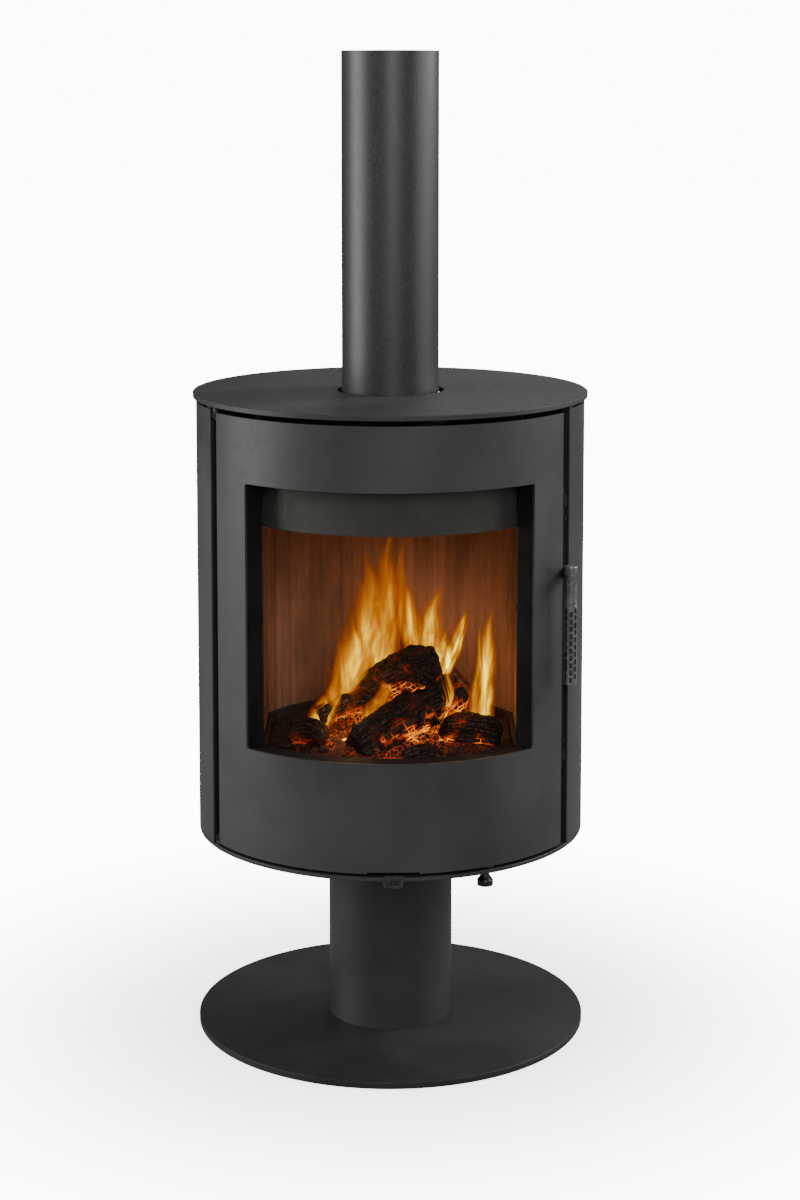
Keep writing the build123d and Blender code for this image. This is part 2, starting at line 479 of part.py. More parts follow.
# The inner frame: a ring behind the window, walls that line the recess, and returns round the outside.
JAMB, JAMB_STEP = WINDOW_EDGE + 0.1, 0.2     # the recess stands this little outside the window
CLIP_PLACES = [(side * CLIP_BEARING, height) for side in (-1, 1) for height in CLIP_HEIGHTS]
with BuildPart() as door_frame:
    block(FRAME_REAR, DOOR_INNER, -FRAME_EDGE, FRAME_EDGE, FRAME_BOTTOM, FRAME_TOP)
    for side in (-1, 1):
        start, end = sorted((side * (JAMB + JAMB_ARC), side * (FRAME_EDGE - JAMB_ARC)))
        block(
            FRAME_FRONT, DOOR_INNER + 1, start, end, FRAME_BOTTOM + FRAME_SHEET, FRAME_TOP - FRAME_SHEET,
            Mode.SUBTRACT,
        )
    for low, high in (
        (FRAME_BOTTOM + FRAME_SHEET, WINDOW_BOTTOM - FRAME_SHEET),
        (WINDOW_TOP + FRAME_SHEET, FRAME_TOP - FRAME_SHEET),
    ):
        block(
            FRAME_FRONT, DOOR_INNER + 1, -JAMB - JAMB_ARC * 2, JAMB + JAMB_ARC * 2, low, high, Mode.SUBTRACT
        )
    block(
        FRAME_REAR - CUT_MARGIN, DOOR_INNER + CUT_MARGIN, -JAMB, JAMB, WINDOW_BOTTOM - JAMB_STEP,
        WINDOW_TOP + JAMB_STEP, Mode.SUBTRACT,
    )
    with BuildSketch(*[radial_plane(b, FRAME_REAR - 1, z) for b, z in CLIP_PLACES]):
        Circle(CLIP_HOLE_RADIUS)
    extrude(amount=FRAME_SHEET + 2, mode=Mode.SUBTRACT)
save(door_frame.part, "door_frame")

with BuildPart() as door_glass:
    block(GLASS_INNER, GLASS_OUTER, -GLASS_EDGE, GLASS_EDGE, GLASS_BOTTOM, GLASS_TOP)
save(door_glass.part, "door_glass")

with BuildPart() as glass_gasket:
    block(GLASS_OUTER, FRAME_REAR, -GLASS_EDGE + 0.2, GLASS_EDGE - 0.2, GLASS_BOTTOM + 1, GLASS_TOP - 1)
    block(
        GLASS_OUTER - 1, FRAME_REAR + 1, -JAMB - 0.4, JAMB + 0.4, WINDOW_BOTTOM - 2, WINDOW_TOP + 2,
        Mode.SUBTRACT,
    )
save(glass_gasket.part, "glass_gasket")

with BuildPart() as glass_clips:
    for bearing, height in CLIP_PLACES:
        side = 1 if bearing > 0 else -1
        low, high = height - CLIP_HEIGHT / 2, height + CLIP_HEIGHT / 2
        start, end = sorted((side * CLIP_START, side * CLIP_END))
        block(CLIP_INNER, GLASS_INNER, start, end, low, high)
        start, end = sorted((side * CLIP_STEP, side * CLIP_END))
        block(CLIP_INNER, FRAME_REAR - CLIP_SEAT_GAP, start, end, low, high)
    with BuildSketch(*[radial_plane(b, CLIP_INNER - 1, z) for b, z in CLIP_PLACES]):
        Circle(CLIP_HOLE_RADIUS)
    extrude(amount=FRAME_REAR - CLIP_INNER + 2, mode=Mode.SUBTRACT)
save(glass_clips.part, "glass_clips")

with BuildPart() as clip_screws:
    with BuildSketch(*[radial_plane(b, CLIP_INNER - 0.1, z) for b, z in CLIP_PLACES]):
        Circle(CLIP_HEAD_RADIUS)
    extrude(amount=-CLIP_HEAD_HEIGHT)
    with BuildSketch(*[radial_plane(b, CLIP_INNER - 0.2, z) for b, z in CLIP_PLACES]):
        Circle(CLIP_SCREW_RADIUS)
    extrude(amount=FRAME_REAR - CLIP_INNER + FRAME_SHEET)
save(clip_screws.part, "clip_screws")

SEAL_ARC = degrees(SEAL_WIDTH / 2 / FRAME_REAR)
with BuildPart() as door_seal:
    block(
        SEAL_INNER, FRAME_REAR, -SEAL_EDGE - SEAL_ARC, SEAL_EDGE + SEAL_ARC,
        SEAL_BOTTOM - SEAL_WIDTH / 2, SEAL_TOP + SEAL_WIDTH / 2,
    )
    block(
        SEAL_INNER - CUT_MARGIN, FRAME_REAR + CUT_MARGIN, -SEAL_EDGE + SEAL_ARC, SEAL_EDGE - SEAL_ARC,
        SEAL_BOTTOM + SEAL_WIDTH / 2, SEAL_TOP - SEAL_WIDTH / 2, Mode.SUBTRACT,
    )
save(door_seal.part, "door_seal")

# --- Hinge: a pin stands on the bottom plate and another hangs from the top plate ---------------------
KNUCKLES = ((FRAME_BOTTOM - KNUCKLE_HEIGHT, FRAME_BOTTOM), (FRAME_TOP, FRAME_TOP + KNUCKLE_HEIGHT))
with BuildPart() as hinge_pins:
    post(*HINGE, PIN_SHOULDER, BOTTOM_PLATE_TOP, KNUCKLES[0][0] - KNUCKLE_GAP)
    post(*HINGE, PIN_RADIUS, BOTTOM_PLATE_TOP, KNUCKLES[0][1] + PIN_END)
    post(*HINGE, PIN_SHOULDER, KNUCKLES[1][1] + KNUCKLE_GAP, TOP_PLATE_UNDERSIDE)
    post(*HINGE, PIN_RADIUS, KNUCKLES[1][0] - PIN_END, TOP_PLATE_UNDERSIDE)
save(hinge_pins.part, "hinge_pins")

with BuildPart() as hinge_knuckles:
    for low, high in KNUCKLES:
        post(*HINGE, KNUCKLE_RADIUS, low, high)
        link(at(*LEAF_TIP), LEAF_TIP_RADIUS, at(*LEAF_ROOT), LEAF_ROOT_RADIUS, low, high)
        block(*LEAF_SPAN, low, high)
        post(*HINGE, PIN_RADIUS + RUNNING_CLEARANCE, low, high, Mode.SUBTRACT)
save(hinge_knuckles.part, "hinge_knuckles")

# --- Latch: an upright rod in bushes on the door's free edge ------------------------------------------
ROD = at(ROD_SEAT, ROD_BEARING)
with BuildPart() as latch_bushes:
    for low in BUSH_HEIGHTS:
        high = low + BUSH_THICKNESS
        link(ROD, BUSH_RADIUS, at(*BUSH_ROOT), BUSH_ROOT_RADIUS, low, high)
        block(*BUSH_SPAN, low, high)
        post(*ROD, ROD_RADIUS + RUNNING_CLEARANCE, low, high, Mode.SUBTRACT)
save(latch_bushes.part, "latch_bushes")

with BuildPart() as latch_rod:
    post(*ROD, ROD_RADIUS, ROD_BOTTOM, ROD_TOP)
save(latch_rod.part, "latch_rod")

COLLAR_RADIUS = BUSH_RADIUS - 0.5
with BuildPart() as rod_collars:
    for low in (BUSH_HEIGHTS[0] + BUSH_THICKNESS + COLLAR_GAP, BUSH_HEIGHTS[1] - COLLAR_GAP - COLLAR_HEIGHT):
        post(*ROD, COLLAR_RADIUS, low, low + COLLAR_HEIGHT)
        post(*ROD, ROD_RADIUS, low, low + COLLAR_HEIGHT, Mode.SUBTRACT)
save(rod_collars.part, "rod_collars")

with BuildPart() as latch_hooks:
    for centre in HOOK_HEIGHTS:
        low, high = centre - HOOK_THICKNESS / 2, centre + HOOK_THICKNESS / 2
        link(ROD, COLLAR_RADIUS, at(*HOOK_TIP), HOOK_TIP_RADIUS, low, high)
        post(*ROD, ROD_RADIUS, low, high, Mode.SUBTRACT)
save(latch_hooks.part, "latch_hooks")

with BuildPart() as latch_keepers:
    for centre in HOOK_HEIGHTS:
        low, high = centre - KEEPER_HALF_HEIGHT, centre + KEEPER_HALF_HEIGHT
        block(KEEPER_INNER, PILLAR_INNER, KEEPER_START, FRONT_PILLAR + 1, low, high)
save(latch_keepers.part, "latch_keepers")

# --- Handle: a flat arm from the rod carries an upright grip ------------------------------------------
GRIP = (GRIP_X, GRIP_Y)
CORE_RADIUS = GRIP_RADIUS - GRIP_WALL
with BuildPart() as handle_arm:
    low, high = ARM_CENTRE - ARM_HEIGHT / 2, ARM_CENTRE + ARM_HEIGHT / 2
    post(*ROD, BUSH_RADIUS - 1, low, high)
    link(ROD, ARM_THICKNESS / 2, ARM_ELBOW, ARM_THICKNESS / 2, low, high)
    link(ARM_ELBOW, ARM_THICKNESS / 2, GRIP, ARM_THICKNESS / 2, low, high)
    post(*ROD, ROD_RADIUS, low, high, Mode.SUBTRACT)
    post(*GRIP, GRIP_RADIUS, low, high, Mode.SUBTRACT)
save(handle_arm.part, "handle_arm")

with BuildPart() as grip_core:
    post(*GRIP, CORE_RADIUS, GRIP_BOTTOM + GRIP_SLEEVE_END, GRIP_TOP - GRIP_CAP_END)
save(grip_core.part, "grip_core")

with BuildPart() as grip_cap:
    post(*GRIP, GRIP_RADIUS, GRIP_SPLIT + GRIP_SEAM, GRIP_TOP)
    fillet(grip_cap.edges().filter_by(GeomType.CIRCLE).sort_by(Axis.Z)[-1], CAP_CROWN)
    fillet(grip_cap.edges().filter_by(GeomType.CIRCLE).sort_by(Axis.Z)[0], CAP_FOOT)
    post(*GRIP, CORE_RADIUS, GRIP_SPLIT, GRIP_TOP - GRIP_CAP_END, Mode.SUBTRACT)
save(grip_cap.part, "grip_cap")

with BuildPart() as grip_sleeve:
    post(*GRIP, GRIP_RADIUS, GRIP_BOTTOM, GRIP_SPLIT)
    fillet(grip_sleeve.edges().filter_by(GeomType.CIRCLE), SLEEVE_EDGE)
    post(*GRIP, CORE_RADIUS, GRIP_BOTTOM + GRIP_SLEEVE_END, GRIP_SPLIT, Mode.SUBTRACT)
    row_pitch = (GRIP_SPLIT - GRIP_BOTTOM) / (SLEEVE_ROWS + 1)
    slot_planes = []
    for column in range(SLEEVE_COLUMNS):
        angle = 360 * column / SLEEVE_COLUMNS
        facing = (cos(radians(angle)), sin(radians(angle)), 0)
        stagger = row_pitch / 2 * (column % 2)
        for row in range(SLEEVE_ROWS):
            slot_z = GRIP_BOTTOM + row_pitch * (row + 0.75) + stagger
            slot_planes.append(Plane(origin=(GRIP_X, GRIP_Y, slot_z), x_dir=(0, 0, 1), z_dir=facing))
    with BuildSketch(*slot_planes):
        SlotOverall(SLOT_LENGTH, SLOT_WIDTH)
    extrude(amount=GRIP_RADIUS + 2, mode=Mode.SUBTRACT)
save(grip_sleeve.part, "grip_sleeve")

# === Air controls =====================================================================================
def port_planes():
    """The planes of the air ports round the valve, on the stove's axis."""
    height = (PORT_BOTTOM + PORT_TOP) / 2
    return [radial_plane(360 * (n + 0.5) / PORTS, 0.01, height) for n in range(PORTS)]


with BuildPart() as air_collar:
    ring(AIR_TUBE_RADIUS - AIR_TUBE_WALL, VALVE_COLLAR_RADIUS, BOTTOM_PLATE_TOP, SLEEVE_TOP + 1)
    disc(VALVE_COLLAR_RADIUS + SLEEVE_WALL, SLEEVE_TOP + 1, SLEEVE_TOP + 3)
    with BuildSketch(*port_planes()):
        Rectangle(PORT_TOP - PORT_BOTTOM, PORT_WIDTH)
    extrude(amount=VALVE_COLLAR_RADIUS + 5, mode=Mode.SUBTRACT)
save(air_collar.part, "air_collar")

SLEEVE_INNER = VALVE_COLLAR_RADIUS + VALVE_GAP
SLEEVE_OUTER = SLEEVE_INNER + SLEEVE_WALL
with BuildPart() as air_sleeve:
    ring(SLEEVE_INNER, SLEEVE_OUTER, BOTTOM_PLATE_TOP + VALVE_GAP, SLEEVE_TOP)
    with BuildSketch(*port_planes()):
        Rectangle(PORT_TOP - PORT_BOTTOM, PORT_WIDTH)
    extrude(amount=SLEEVE_OUTER + 5, mode=Mode.SUBTRACT)
save(air_sleeve.part, "air_sleeve")

# The lever leaves the door's notch and bends down in front of the bottom plate. A finger loop stands
# forward from its foot: a D-shaped rim with a rib across the middle, so it has two openings.
TAB_OUTER = TAB_INNER + TAB_THICKNESS
LEVER_PLANE = Plane(origin=(0, 0, LEVER_BOTTOM), x_dir=outwards(NOTCH_BEARING), z_dir=(0, 0, 1))
LOOP_PLANE = LEVER_PLANE.offset(TAB_BOTTOM - LEVER_BOTTOM)


def loop_outline(inset):
    """Sketches the finger loop's D in plan, held back from its edge by an inset."""
    root, tip = TAB_OUTER - 1 + inset, LOOP_REACH - inset
    half_root, half_tip = TAB_WIDTH / 2 - 1 - inset, TAB_WIDTH / 4 - inset / 2
    shoulder = tip - (tip - root) / 3
    with BuildLine() as outline:
        Line((root, -half_root), (root, half_root))
        Spline(
            (root, half_root), (shoulder, (half_root + half_tip) / 2), (tip, 0),
            (shoulder, -(half_root + half_tip) / 2), (root, -half_root),
            tangents=((1, 0), (-1, 0)),
        )
    make_face(outline.edges())


with BuildPart() as air_lever:
    ring(SLEEVE_OUTER, LEVER_HUB, LEVER_BOTTOM, LEVER_TOP)
    with BuildSketch(LEVER_PLANE):
        arm_start = SLEEVE_OUTER + 2
        with Locations(((arm_start + TAB_OUTER) / 2, 0)):
            Rectangle(TAB_OUTER - arm_start, LEVER_WIDTH)
    extrude(amount=LEVER_TOP - LEVER_BOTTOM)
    tab_half = degrees(TAB_WIDTH / 2 / TAB_INNER)
    block(TAB_INNER, TAB_OUTER, NOTCH_BEARING - tab_half, NOTCH_BEARING + tab_half, TAB_BOTTOM, LEVER_TOP)
    with BuildSketch(LOOP_PLANE) as loop_rim:
        loop_outline(0)
    extrude(loop_rim.sketch, amount=LOOP_THICKNESS)
    with BuildSketch(LOOP_PLANE) as loop_holes:
        loop_outline(LOOP_RIM)
        with Locations((LOOP_REACH - LOOP_THICKNESS, 0)):
            Rectangle(LOOP_REACH - TAB_INNER, LOOP_RIB, mode=Mode.SUBTRACT)
    extrude(loop_holes.sketch, amount=LOOP_THICKNESS, mode=Mode.SUBTRACT)
save(air_lever.part, "air_lever")

with BuildPart() as primary_slide:
    foot_y = (KNOB_Y - SLIDE_WIDTH / 2 + SLIDE_WEB_Y + SLIDE_SHEET) / 2
    with BuildSketch(Plane.XY.offset(LEVER_BOTTOM)):
        with Locations((KNOB_X, foot_y)):
            Rectangle(SLIDE_WIDTH, SLIDE_WEB_Y + SLIDE_SHEET - KNOB_Y + SLIDE_WIDTH / 2)
    extrude(amount=SLIDE_SHEET)
    with BuildSketch(Plane.XY.offset(LEVER_BOTTOM)):
        with Locations((KNOB_X, SLIDE_WEB_Y + SLIDE_SHEET / 2)):
            Rectangle(SLIDE_WIDTH, SLIDE_SHEET)
    extrude(amount=SLIDE_PLATE_BOTTOM + SLIDE_SHEET - LEVER_BOTTOM)
    with BuildSketch(Plane.XY.offset(SLIDE_PLATE_BOTTOM)):
        with Locations((KNOB_X, (SLIDE_WEB_Y + SLIDE_REAR_Y) / 2)):
            Rectangle(SLIDE_PLATE_WIDTH, SLIDE_REAR_Y - SLIDE_WEB_Y)
        for slot_y in AIR_SLOTS_Y[:2]:
            with Locations((KNOB_X, slot_y)):
                SlotOverall(AIR_SLOT_LENGTH, AIR_SLOT_WIDTH, mode=Mode.SUBTRACT)
    extrude(amount=SLIDE_SHEET)
save(primary_slide.part, "primary_slide")

with BuildPart() as slide_rails:
    rail_middle = (RAIL_FRONT + RAIL_REAR) / 2
    lip_bottom = SLIDE_PLATE_BOTTOM - RAIL_DROP - RAIL_THICKNESS
    for side in (-1, 1):
        web_x = KNOB_X + side * (SLIDE_PLATE_WIDTH / 2 + RAIL_GAP + RAIL_THICKNESS / 2)
        lip_x = KNOB_X + side * (SLIDE_PLATE_WIDTH / 2 + RAIL_GAP - RAIL_LIP / 2 + 0.1)
        with BuildSketch(Plane.XY.offset(lip_bottom)):
            with Locations((web_x, rail_middle)):
                Rectangle(RAIL_THICKNESS, RAIL_REAR - RAIL_FRONT)
        extrude(amount=SHELL_BOTTOM - lip_bottom)
        with BuildSketch(Plane.XY.offset(lip_bottom)):
            with Locations((lip_x, rail_middle)):
                Rectangle(RAIL_LIP, RAIL_REAR - RAIL_FRONT)
        extrude(amount=RAIL_THICKNESS)
save(slide_rails.part, "slide_rails")

# The knob hangs under the bottom plate on a stem that flares into its round head.
with BuildPart() as primary_knob:
    with BuildSketch(Plane(origin=(KNOB_X, KNOB_Y, 0), x_dir=(1, 0, 0), z_dir=(0, -1, 0))):
        with BuildLine():
            foot = Line((0, KNOB_BOTTOM), (KNOB_RADIUS - KNOB_ROUND, KNOB_BOTTOM))
            corner = RadiusArc(foot @ 1, (KNOB_RADIUS, KNOB_BOTTOM + KNOB_ROUND), -KNOB_ROUND)
            edge = Line(corner @ 1, (KNOB_RADIUS, KNOB_EDGE - KNOB_ROUND))
            flare = Spline(
                edge @ 1, (STEM_RADIUS, KNOB_THROAT), tangents=((0, 1), (0, 1)), tangent_scalars=(0.6, 0.8)
            )
            stem = Line(flare @ 1, (STEM_RADIUS, LEVER_BOTTOM))
            crown = Line(stem @ 1, (0, LEVER_BOTTOM))
            Line(crown @ 1, foot @ 0)
        make_face()
    revolve(axis=Axis((KNOB_X, KNOB_Y, 0), (0, 0, 1)))
save(primary_knob.part, "primary_knob")
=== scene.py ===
"""Looks for a round wood burning stove: its metal, brick and glass finishes, its rope seal and its fire."""

import random
from math import cos, degrees, exp, pi, radians, sin, sqrt

import bpy
import bmesh
from mathutils import Matrix, Vector, noise


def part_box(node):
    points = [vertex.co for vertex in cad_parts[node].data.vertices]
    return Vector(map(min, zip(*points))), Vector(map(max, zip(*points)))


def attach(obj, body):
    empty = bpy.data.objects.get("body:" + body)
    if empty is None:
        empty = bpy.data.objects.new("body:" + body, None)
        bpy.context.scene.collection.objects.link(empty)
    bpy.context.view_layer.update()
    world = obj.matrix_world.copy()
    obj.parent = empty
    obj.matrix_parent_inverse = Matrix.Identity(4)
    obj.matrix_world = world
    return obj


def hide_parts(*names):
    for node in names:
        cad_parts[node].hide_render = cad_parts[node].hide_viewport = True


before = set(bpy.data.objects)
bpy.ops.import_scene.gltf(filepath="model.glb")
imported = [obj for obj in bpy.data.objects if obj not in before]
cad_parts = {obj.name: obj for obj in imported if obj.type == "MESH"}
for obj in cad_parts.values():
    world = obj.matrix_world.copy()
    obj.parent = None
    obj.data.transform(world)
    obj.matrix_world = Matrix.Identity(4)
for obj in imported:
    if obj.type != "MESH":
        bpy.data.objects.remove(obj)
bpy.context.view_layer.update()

bl_info = {
    "name": "Wood Burning Stove",
    "version": (1, 0, 0),
    "blender": (4, 5, 0),
    "location": "3D View > Sidebar > Stove",
    "description": "Finishes a round wood burning stove and lays its fire",
    "category": "Object",
}

# --- Places from the frame, in metres -----------------------------------------------------------------
BASIN_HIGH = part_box("fire_basin")[1]
GRATE_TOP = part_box("fire_grate")[1].z
SEAL_LOW, SEAL_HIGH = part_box("door_seal")
BODY = "stove_body"

# --- Stage, in metres ---------------------------------------------------------------------------------
FLOOR_RADIUS = 30.0
BACKDROP_GLOW = 12.0
AMBIENT_GLOW = 0.10
# SHADE_DEPTH and SHADE_REACH shape the floor's painted contact shadow.
SHADE_DEPTH = 0.20              # the floor's share of the backdrop's brightness beside the base plate
SHADE_REACH = (0.20, 1.10)      # where the contact shade starts to fade, and where it is gone
MIRRORED_FLOOR = (0.30, 0.30, 0.30)
LIGHT_AIM = (0.0, 0.0, 0.75)
SENSOR_WIDTH, FOCAL_LENGTH, LENS_SHIFT = 36.0, 73.8, -0.20
CAMERA_ASIDE = 0.015

# --- Paint, in metres ---------------------------------------------------------------------------------
PAINT_GRAIN = 0.00003
PAINT_PEEL = 0.000048

# --- Lining, in metres --------------------------------------------------------------------------------
SLAT_PITCH = 0.0179
LINING_RADIUS = 0.222
SLATS_PER_RADIAN = LINING_RADIUS / SLAT_PITCH
# Painted shade on the firebox front: near-black up to the first height, gone by the second.
LOW_SHADE_START, LOW_SHADE_END = 0.05, 0.30       # above the seal's lower edge

# --- Rope seal, in metres and degrees -----------------------------------------------------------------
ROPE_RADIUS = 0.0048
ROPE_MIDDLE = 0.26125           # radius of the rope's own path on the drum
ROPE_EDGE = 52.75               # bearing of its upright runs
ROPE_INSET = 0.006
ROPE_CORNER = 0.016
ROPE_CORNER_STEPS = 8
ROPE_STEP = 0.0016
ROPE_SIDES = 20
BRAID_HEIGHT = 0.00042
BRAID_SINK = 0.0002

# --- Logs, in metres ----------------------------------------------------------------------------------
LOG_SIDES = 44
LOG_RING_PITCH = 0.0035
LOG_LEAST_RINGS = 14
LOG_END_RINGS = 7
LOG_BOW = 0.006                 # how far a log's middle rises off its straight line
LOG_SWAY = 0.003
LOG_WEAR = 0.006                # how far from its ends a log is burnt narrower
FLAT_DEPTHS = (0.66, 0.86)      # how near the middle a split face lies, as a share of the radius
CHAR_WIDTH, CHAR_ROW, CHAR_JOINT = 0.013, 0.0085, 0.0015
GRAIN_WANDER = 0.0045

# --- Embers, in metres --------------------------------------------------------------------------------
BED_CENTRE_Y = -0.02
BED_SPREAD = (0.150, 0.160)
BED_CROWN = 0.020
BED_RIM = 0.010
BED_MARGIN = 0.001
BED_CELLS = (130, 146)
HEAT_CENTRE_Y = -0.04
EMBER_REACH = 0.175
EMBER_CENTRE_Y = -0.012
EMBER_STRETCH_Y = 1.05
EMBER_SIZES = (0.005, 0.013)

# --- Flames -------------------------------------------------------------------------------------------
FLAME_STEPS = 12                # along each stretch of a flame's line
FLAME_COLUMNS = 12              # across a sheet
SHEET_TURNS = (-40.0, 0.0, 40.0)
TONGUES = 4
FIRELIGHT_SOFTNESS = 0.03


# === Shared helpers ===================================================================================
def link_mesh(name, bm, material):
    """Turns a bmesh into an object with its finish."""
    mesh = bpy.data.meshes.new(name)
    bm.to_mesh(mesh)
    bm.free()
    mesh.materials.append(material)
    piece = bpy.data.objects.new(name, mesh)
    bpy.context.scene.collection.objects.link(piece)
    return piece


def keep_mesh(name, bm, body, material, smooth=True):
    """Turns a bmesh into a finished piece that rides on a body."""
    bmesh.ops.recalc_face_normals(bm, faces=bm.faces)
    piece = link_mesh(name, bm, material)
    for polygon in piece.data.polygons:
        polygon.use_smooth = smooth
    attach(piece, body)
    return piece


def on_drum(radius, bearing, height):
    """A point at a radius and height, on a bearing in degrees from the front towards +X."""
    angle = radians(bearing)
    return Vector((radius * sin(angle), -radius * cos(angle), height))


def smooth_line(points, steps):
    """Points along a smooth line that passes through the given ones (a Catmull-Rom spline)."""
    ends = [2 * points[0] - points[1], *points, 2 * points[-1] - points[-2]]
    line = []
    for index in range(1, len(ends) - 2):
        before, start, end, after = ends[index - 1:index + 3]
        for step in range(steps):
            t = step / steps
            line.append(0.5 * (
                2 * start
                + (end - before) * t
                + (2 * before - 5 * start + 4 * end - after) * t ** 2
                + (3 * start - before - 3 * end + after) * t ** 3
            ))
    line.append(points[-1].copy())
    return line


def bridge(bm, rows, ring=True, loop=False):
    """Joins rows of vertices by faces: a ring's rows are closed, and a loop's last row meets its first."""
    following = rows[1:] + rows[:1] if loop else rows[1:]
    for lower, upper in zip(rows, following):
        for step in range(len(lower) if ring else len(lower) - 1):
            ahead = (step + 1) % len(lower)
            bm.faces.new((lower[step], lower[ahead], upper[ahead], upper[step]))


def mix_numbers(low, high, share):
    """A number part of the way from one to another."""
    return low + (high - low) * share


def clamp(value):
    """A number held between 0 and 1."""
    return max(0.0, min(1.0, value))


def shade(colour, factor, lift=0.0):
    """A colour made darker or lighter, never past white."""
    return tuple(min(1.0, channel * factor + lift) for channel in colour)


def paint(names, material):
    """Gives CAD nodes their finish."""
    for name in names:
        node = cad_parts[name]
        for slot in node.material_slots:
            slot.material = material
        if not node.material_slots:
            node.data.materials.append(material)


class Finish:
    """A node material under construction."""

    def __init__(self, name):
        self.material = bpy.data.materials.new(name)
        self.material.use_nodes = True
        self.nodes = self.material.node_tree.nodes
        self.links = self.material.node_tree.links
        self.shader = self.nodes["Principled BSDF"]
        self.output = self.nodes["Material Output"]
        self.place = self.add("ShaderNodeTexCoord").outputs["Object"]

    def put(self, socket, value):
        """Links a socket, or sets its constant."""
        if isinstance(value, bpy.types.NodeSocket):
            self.links.new(value, socket)
        elif isinstance(value, tuple) and len(value) == 3 and len(socket.default_value) == 4:
            socket.default_value = (*value, 1.0)
        else:
            socket.default_value = value

    def add(self, kind, inputs=None, **attributes):
        """Adds a node with its settings and its inputs by name or number."""
        node = self.nodes.new(kind)
        for key, value in attributes.items():
            setattr(node, key, value)
        for key, value in (inputs or {}).items():
            self.put(node.inputs[key], value)
        return node

    def set(self, **inputs):
        """Sets the shader's own sockets; an underscore in a name stands for a space."""
        for key, value in inputs.items():
            self.put(self.shader.inputs[key.replace("_", " ")], value)

    def stretched(self, place, stretch):
        """A place scaled along its axes, so that a pattern laid on it is drawn out."""
        return self.add("ShaderNodeMapping", {"Vector": place, "Scale": stretch}).outputs[0]

    def noise(self, scale, detail=4.0, roughness=0.55, stretch=None, distortion=0.0, place=None):
        """Noise of a scale in features per metre, optionally stretched along an axis."""
        place = place or self.place
        if stretch:
            place = self.stretched(place, stretch)
        return self.add("ShaderNodeTexNoise", {
            "Vector": place, "Scale": scale, "Detail": detail, "Roughness": roughness,
            "Distortion": distortion,
        }).outputs["Fac"]

    def cells(self, scale, feature="F1", place=None):
        """Voronoi cells of a scale in cells per metre."""
        return self.add("ShaderNodeTexVoronoi", {
            "Vector": place or self.place, "Scale": scale,
        }, feature=feature).outputs["Distance"]

    def attribute(self, name, output="Fac"):
        """A value stored on the mesh."""
        return self.add("ShaderNodeAttribute", attribute_name=name).outputs[output]

    def span(self, value, low, high, to_low=0.0, to_high=1.0):
        """Maps a range of a value smoothly to another range."""
        return self.add("ShaderNodeMapRange", {
            "Value": value, "From Min": low, "From Max": high, "To Min": to_low, "To Max": to_high,
        }, interpolation_type="SMOOTHSTEP").outputs["Result"]

    def ramp(self, value, *stops):
        """A colour ramp from (position, colour) stops."""
        node = self.add("ShaderNodeValToRGB", {"Fac": value})
        elements = node.color_ramp.elements
        while len(elements) < len(stops):
            elements.new(0.5)
        for element, (position, colour) in zip(elements, stops):
            element.position = position
            element.color = (*colour, 1.0)
        return node.outputs["Color"]

    def mix(self, factor, first, second, blend="MIX"):
        """Mixes two colours."""
        return self.add("ShaderNodeMix", {0: factor, 6: first, 7: second}, data_type="RGBA",
                        blend_type=blend).outputs[2]

    def math(self, operation, first, second=0.0, limit=False):
        """Works out one number from two, held between 0 and 1 if asked."""
        return self.add("ShaderNodeMath", {0: first, 1: second}, operation=operation,
                        use_clamp=limit).outputs[0]

    def times(self, first, second, limit=False):
        """The product of two numbers."""
        return self.math("MULTIPLY", first, second, limit)

    def sheet(self, share, first, second):
        """Ends the material in a blend of two shaders."""
        blend = self.add("ShaderNodeMixShader", {0: share, 1: first, 2: second})
        self.links.new(blend.outputs[0], self.output.inputs["Surface"])

    def bump(self, height, distance, strength=1.0, after=None):
        """Bump from a height, in metres, laid over an earlier bump."""
        inputs = {"Height": height, "Distance": distance, "Strength": strength}
        if after is not None:
            inputs["Normal"] = after
        return self.add("ShaderNodeBump", inputs).outputs["Normal"]

    def part_of_place(self, axis):
        """One coordinate of the piece's own place, in metres."""
        return self.add("ShaderNodeSeparateXYZ", {0: self.place}).outputs[axis]


# === Finishes =========================================================================================
def stove_paint(name, colour, roughness):
    """Heat-proof stove paint: fine orange-peel grain, cloudy sheen and a little dust."""
    finish = Finish(name)
    cloud = finish.noise(5.0, 3.0, 0.5)
    grit = finish.noise(1400.0, 2.0, 0.6)
    peel = finish.noise(420.0, 2.0, 0.5)
    dust = finish.noise(38.0, 6.0, 0.7)
    dark, light, speck = shade(colour, 0.80), shade(colour, 1.22, 0.002), shade(colour, 2.0, 0.01)
    base = finish.mix(finish.span(cloud, 0.35, 0.65), dark, light)
    base = finish.mix(finish.times(finish.span(grit, 0.60, 0.80), 0.35), base, speck)
    rough = finish.math("ADD", finish.span(cloud, 0.3, 0.7, roughness - 0.04, roughness + 0.05),
                        finish.span(dust, 0.45, 0.75, -0.02, 0.06))
    normal = finish.bump(grit, PAINT_GRAIN, 0.5, finish.bump(peel, PAINT_PEEL, 0.55))
    finish.set(Base_Color=base, Roughness=rough, Specular_IOR_Level=0.42, Normal=normal)
    return finish.material


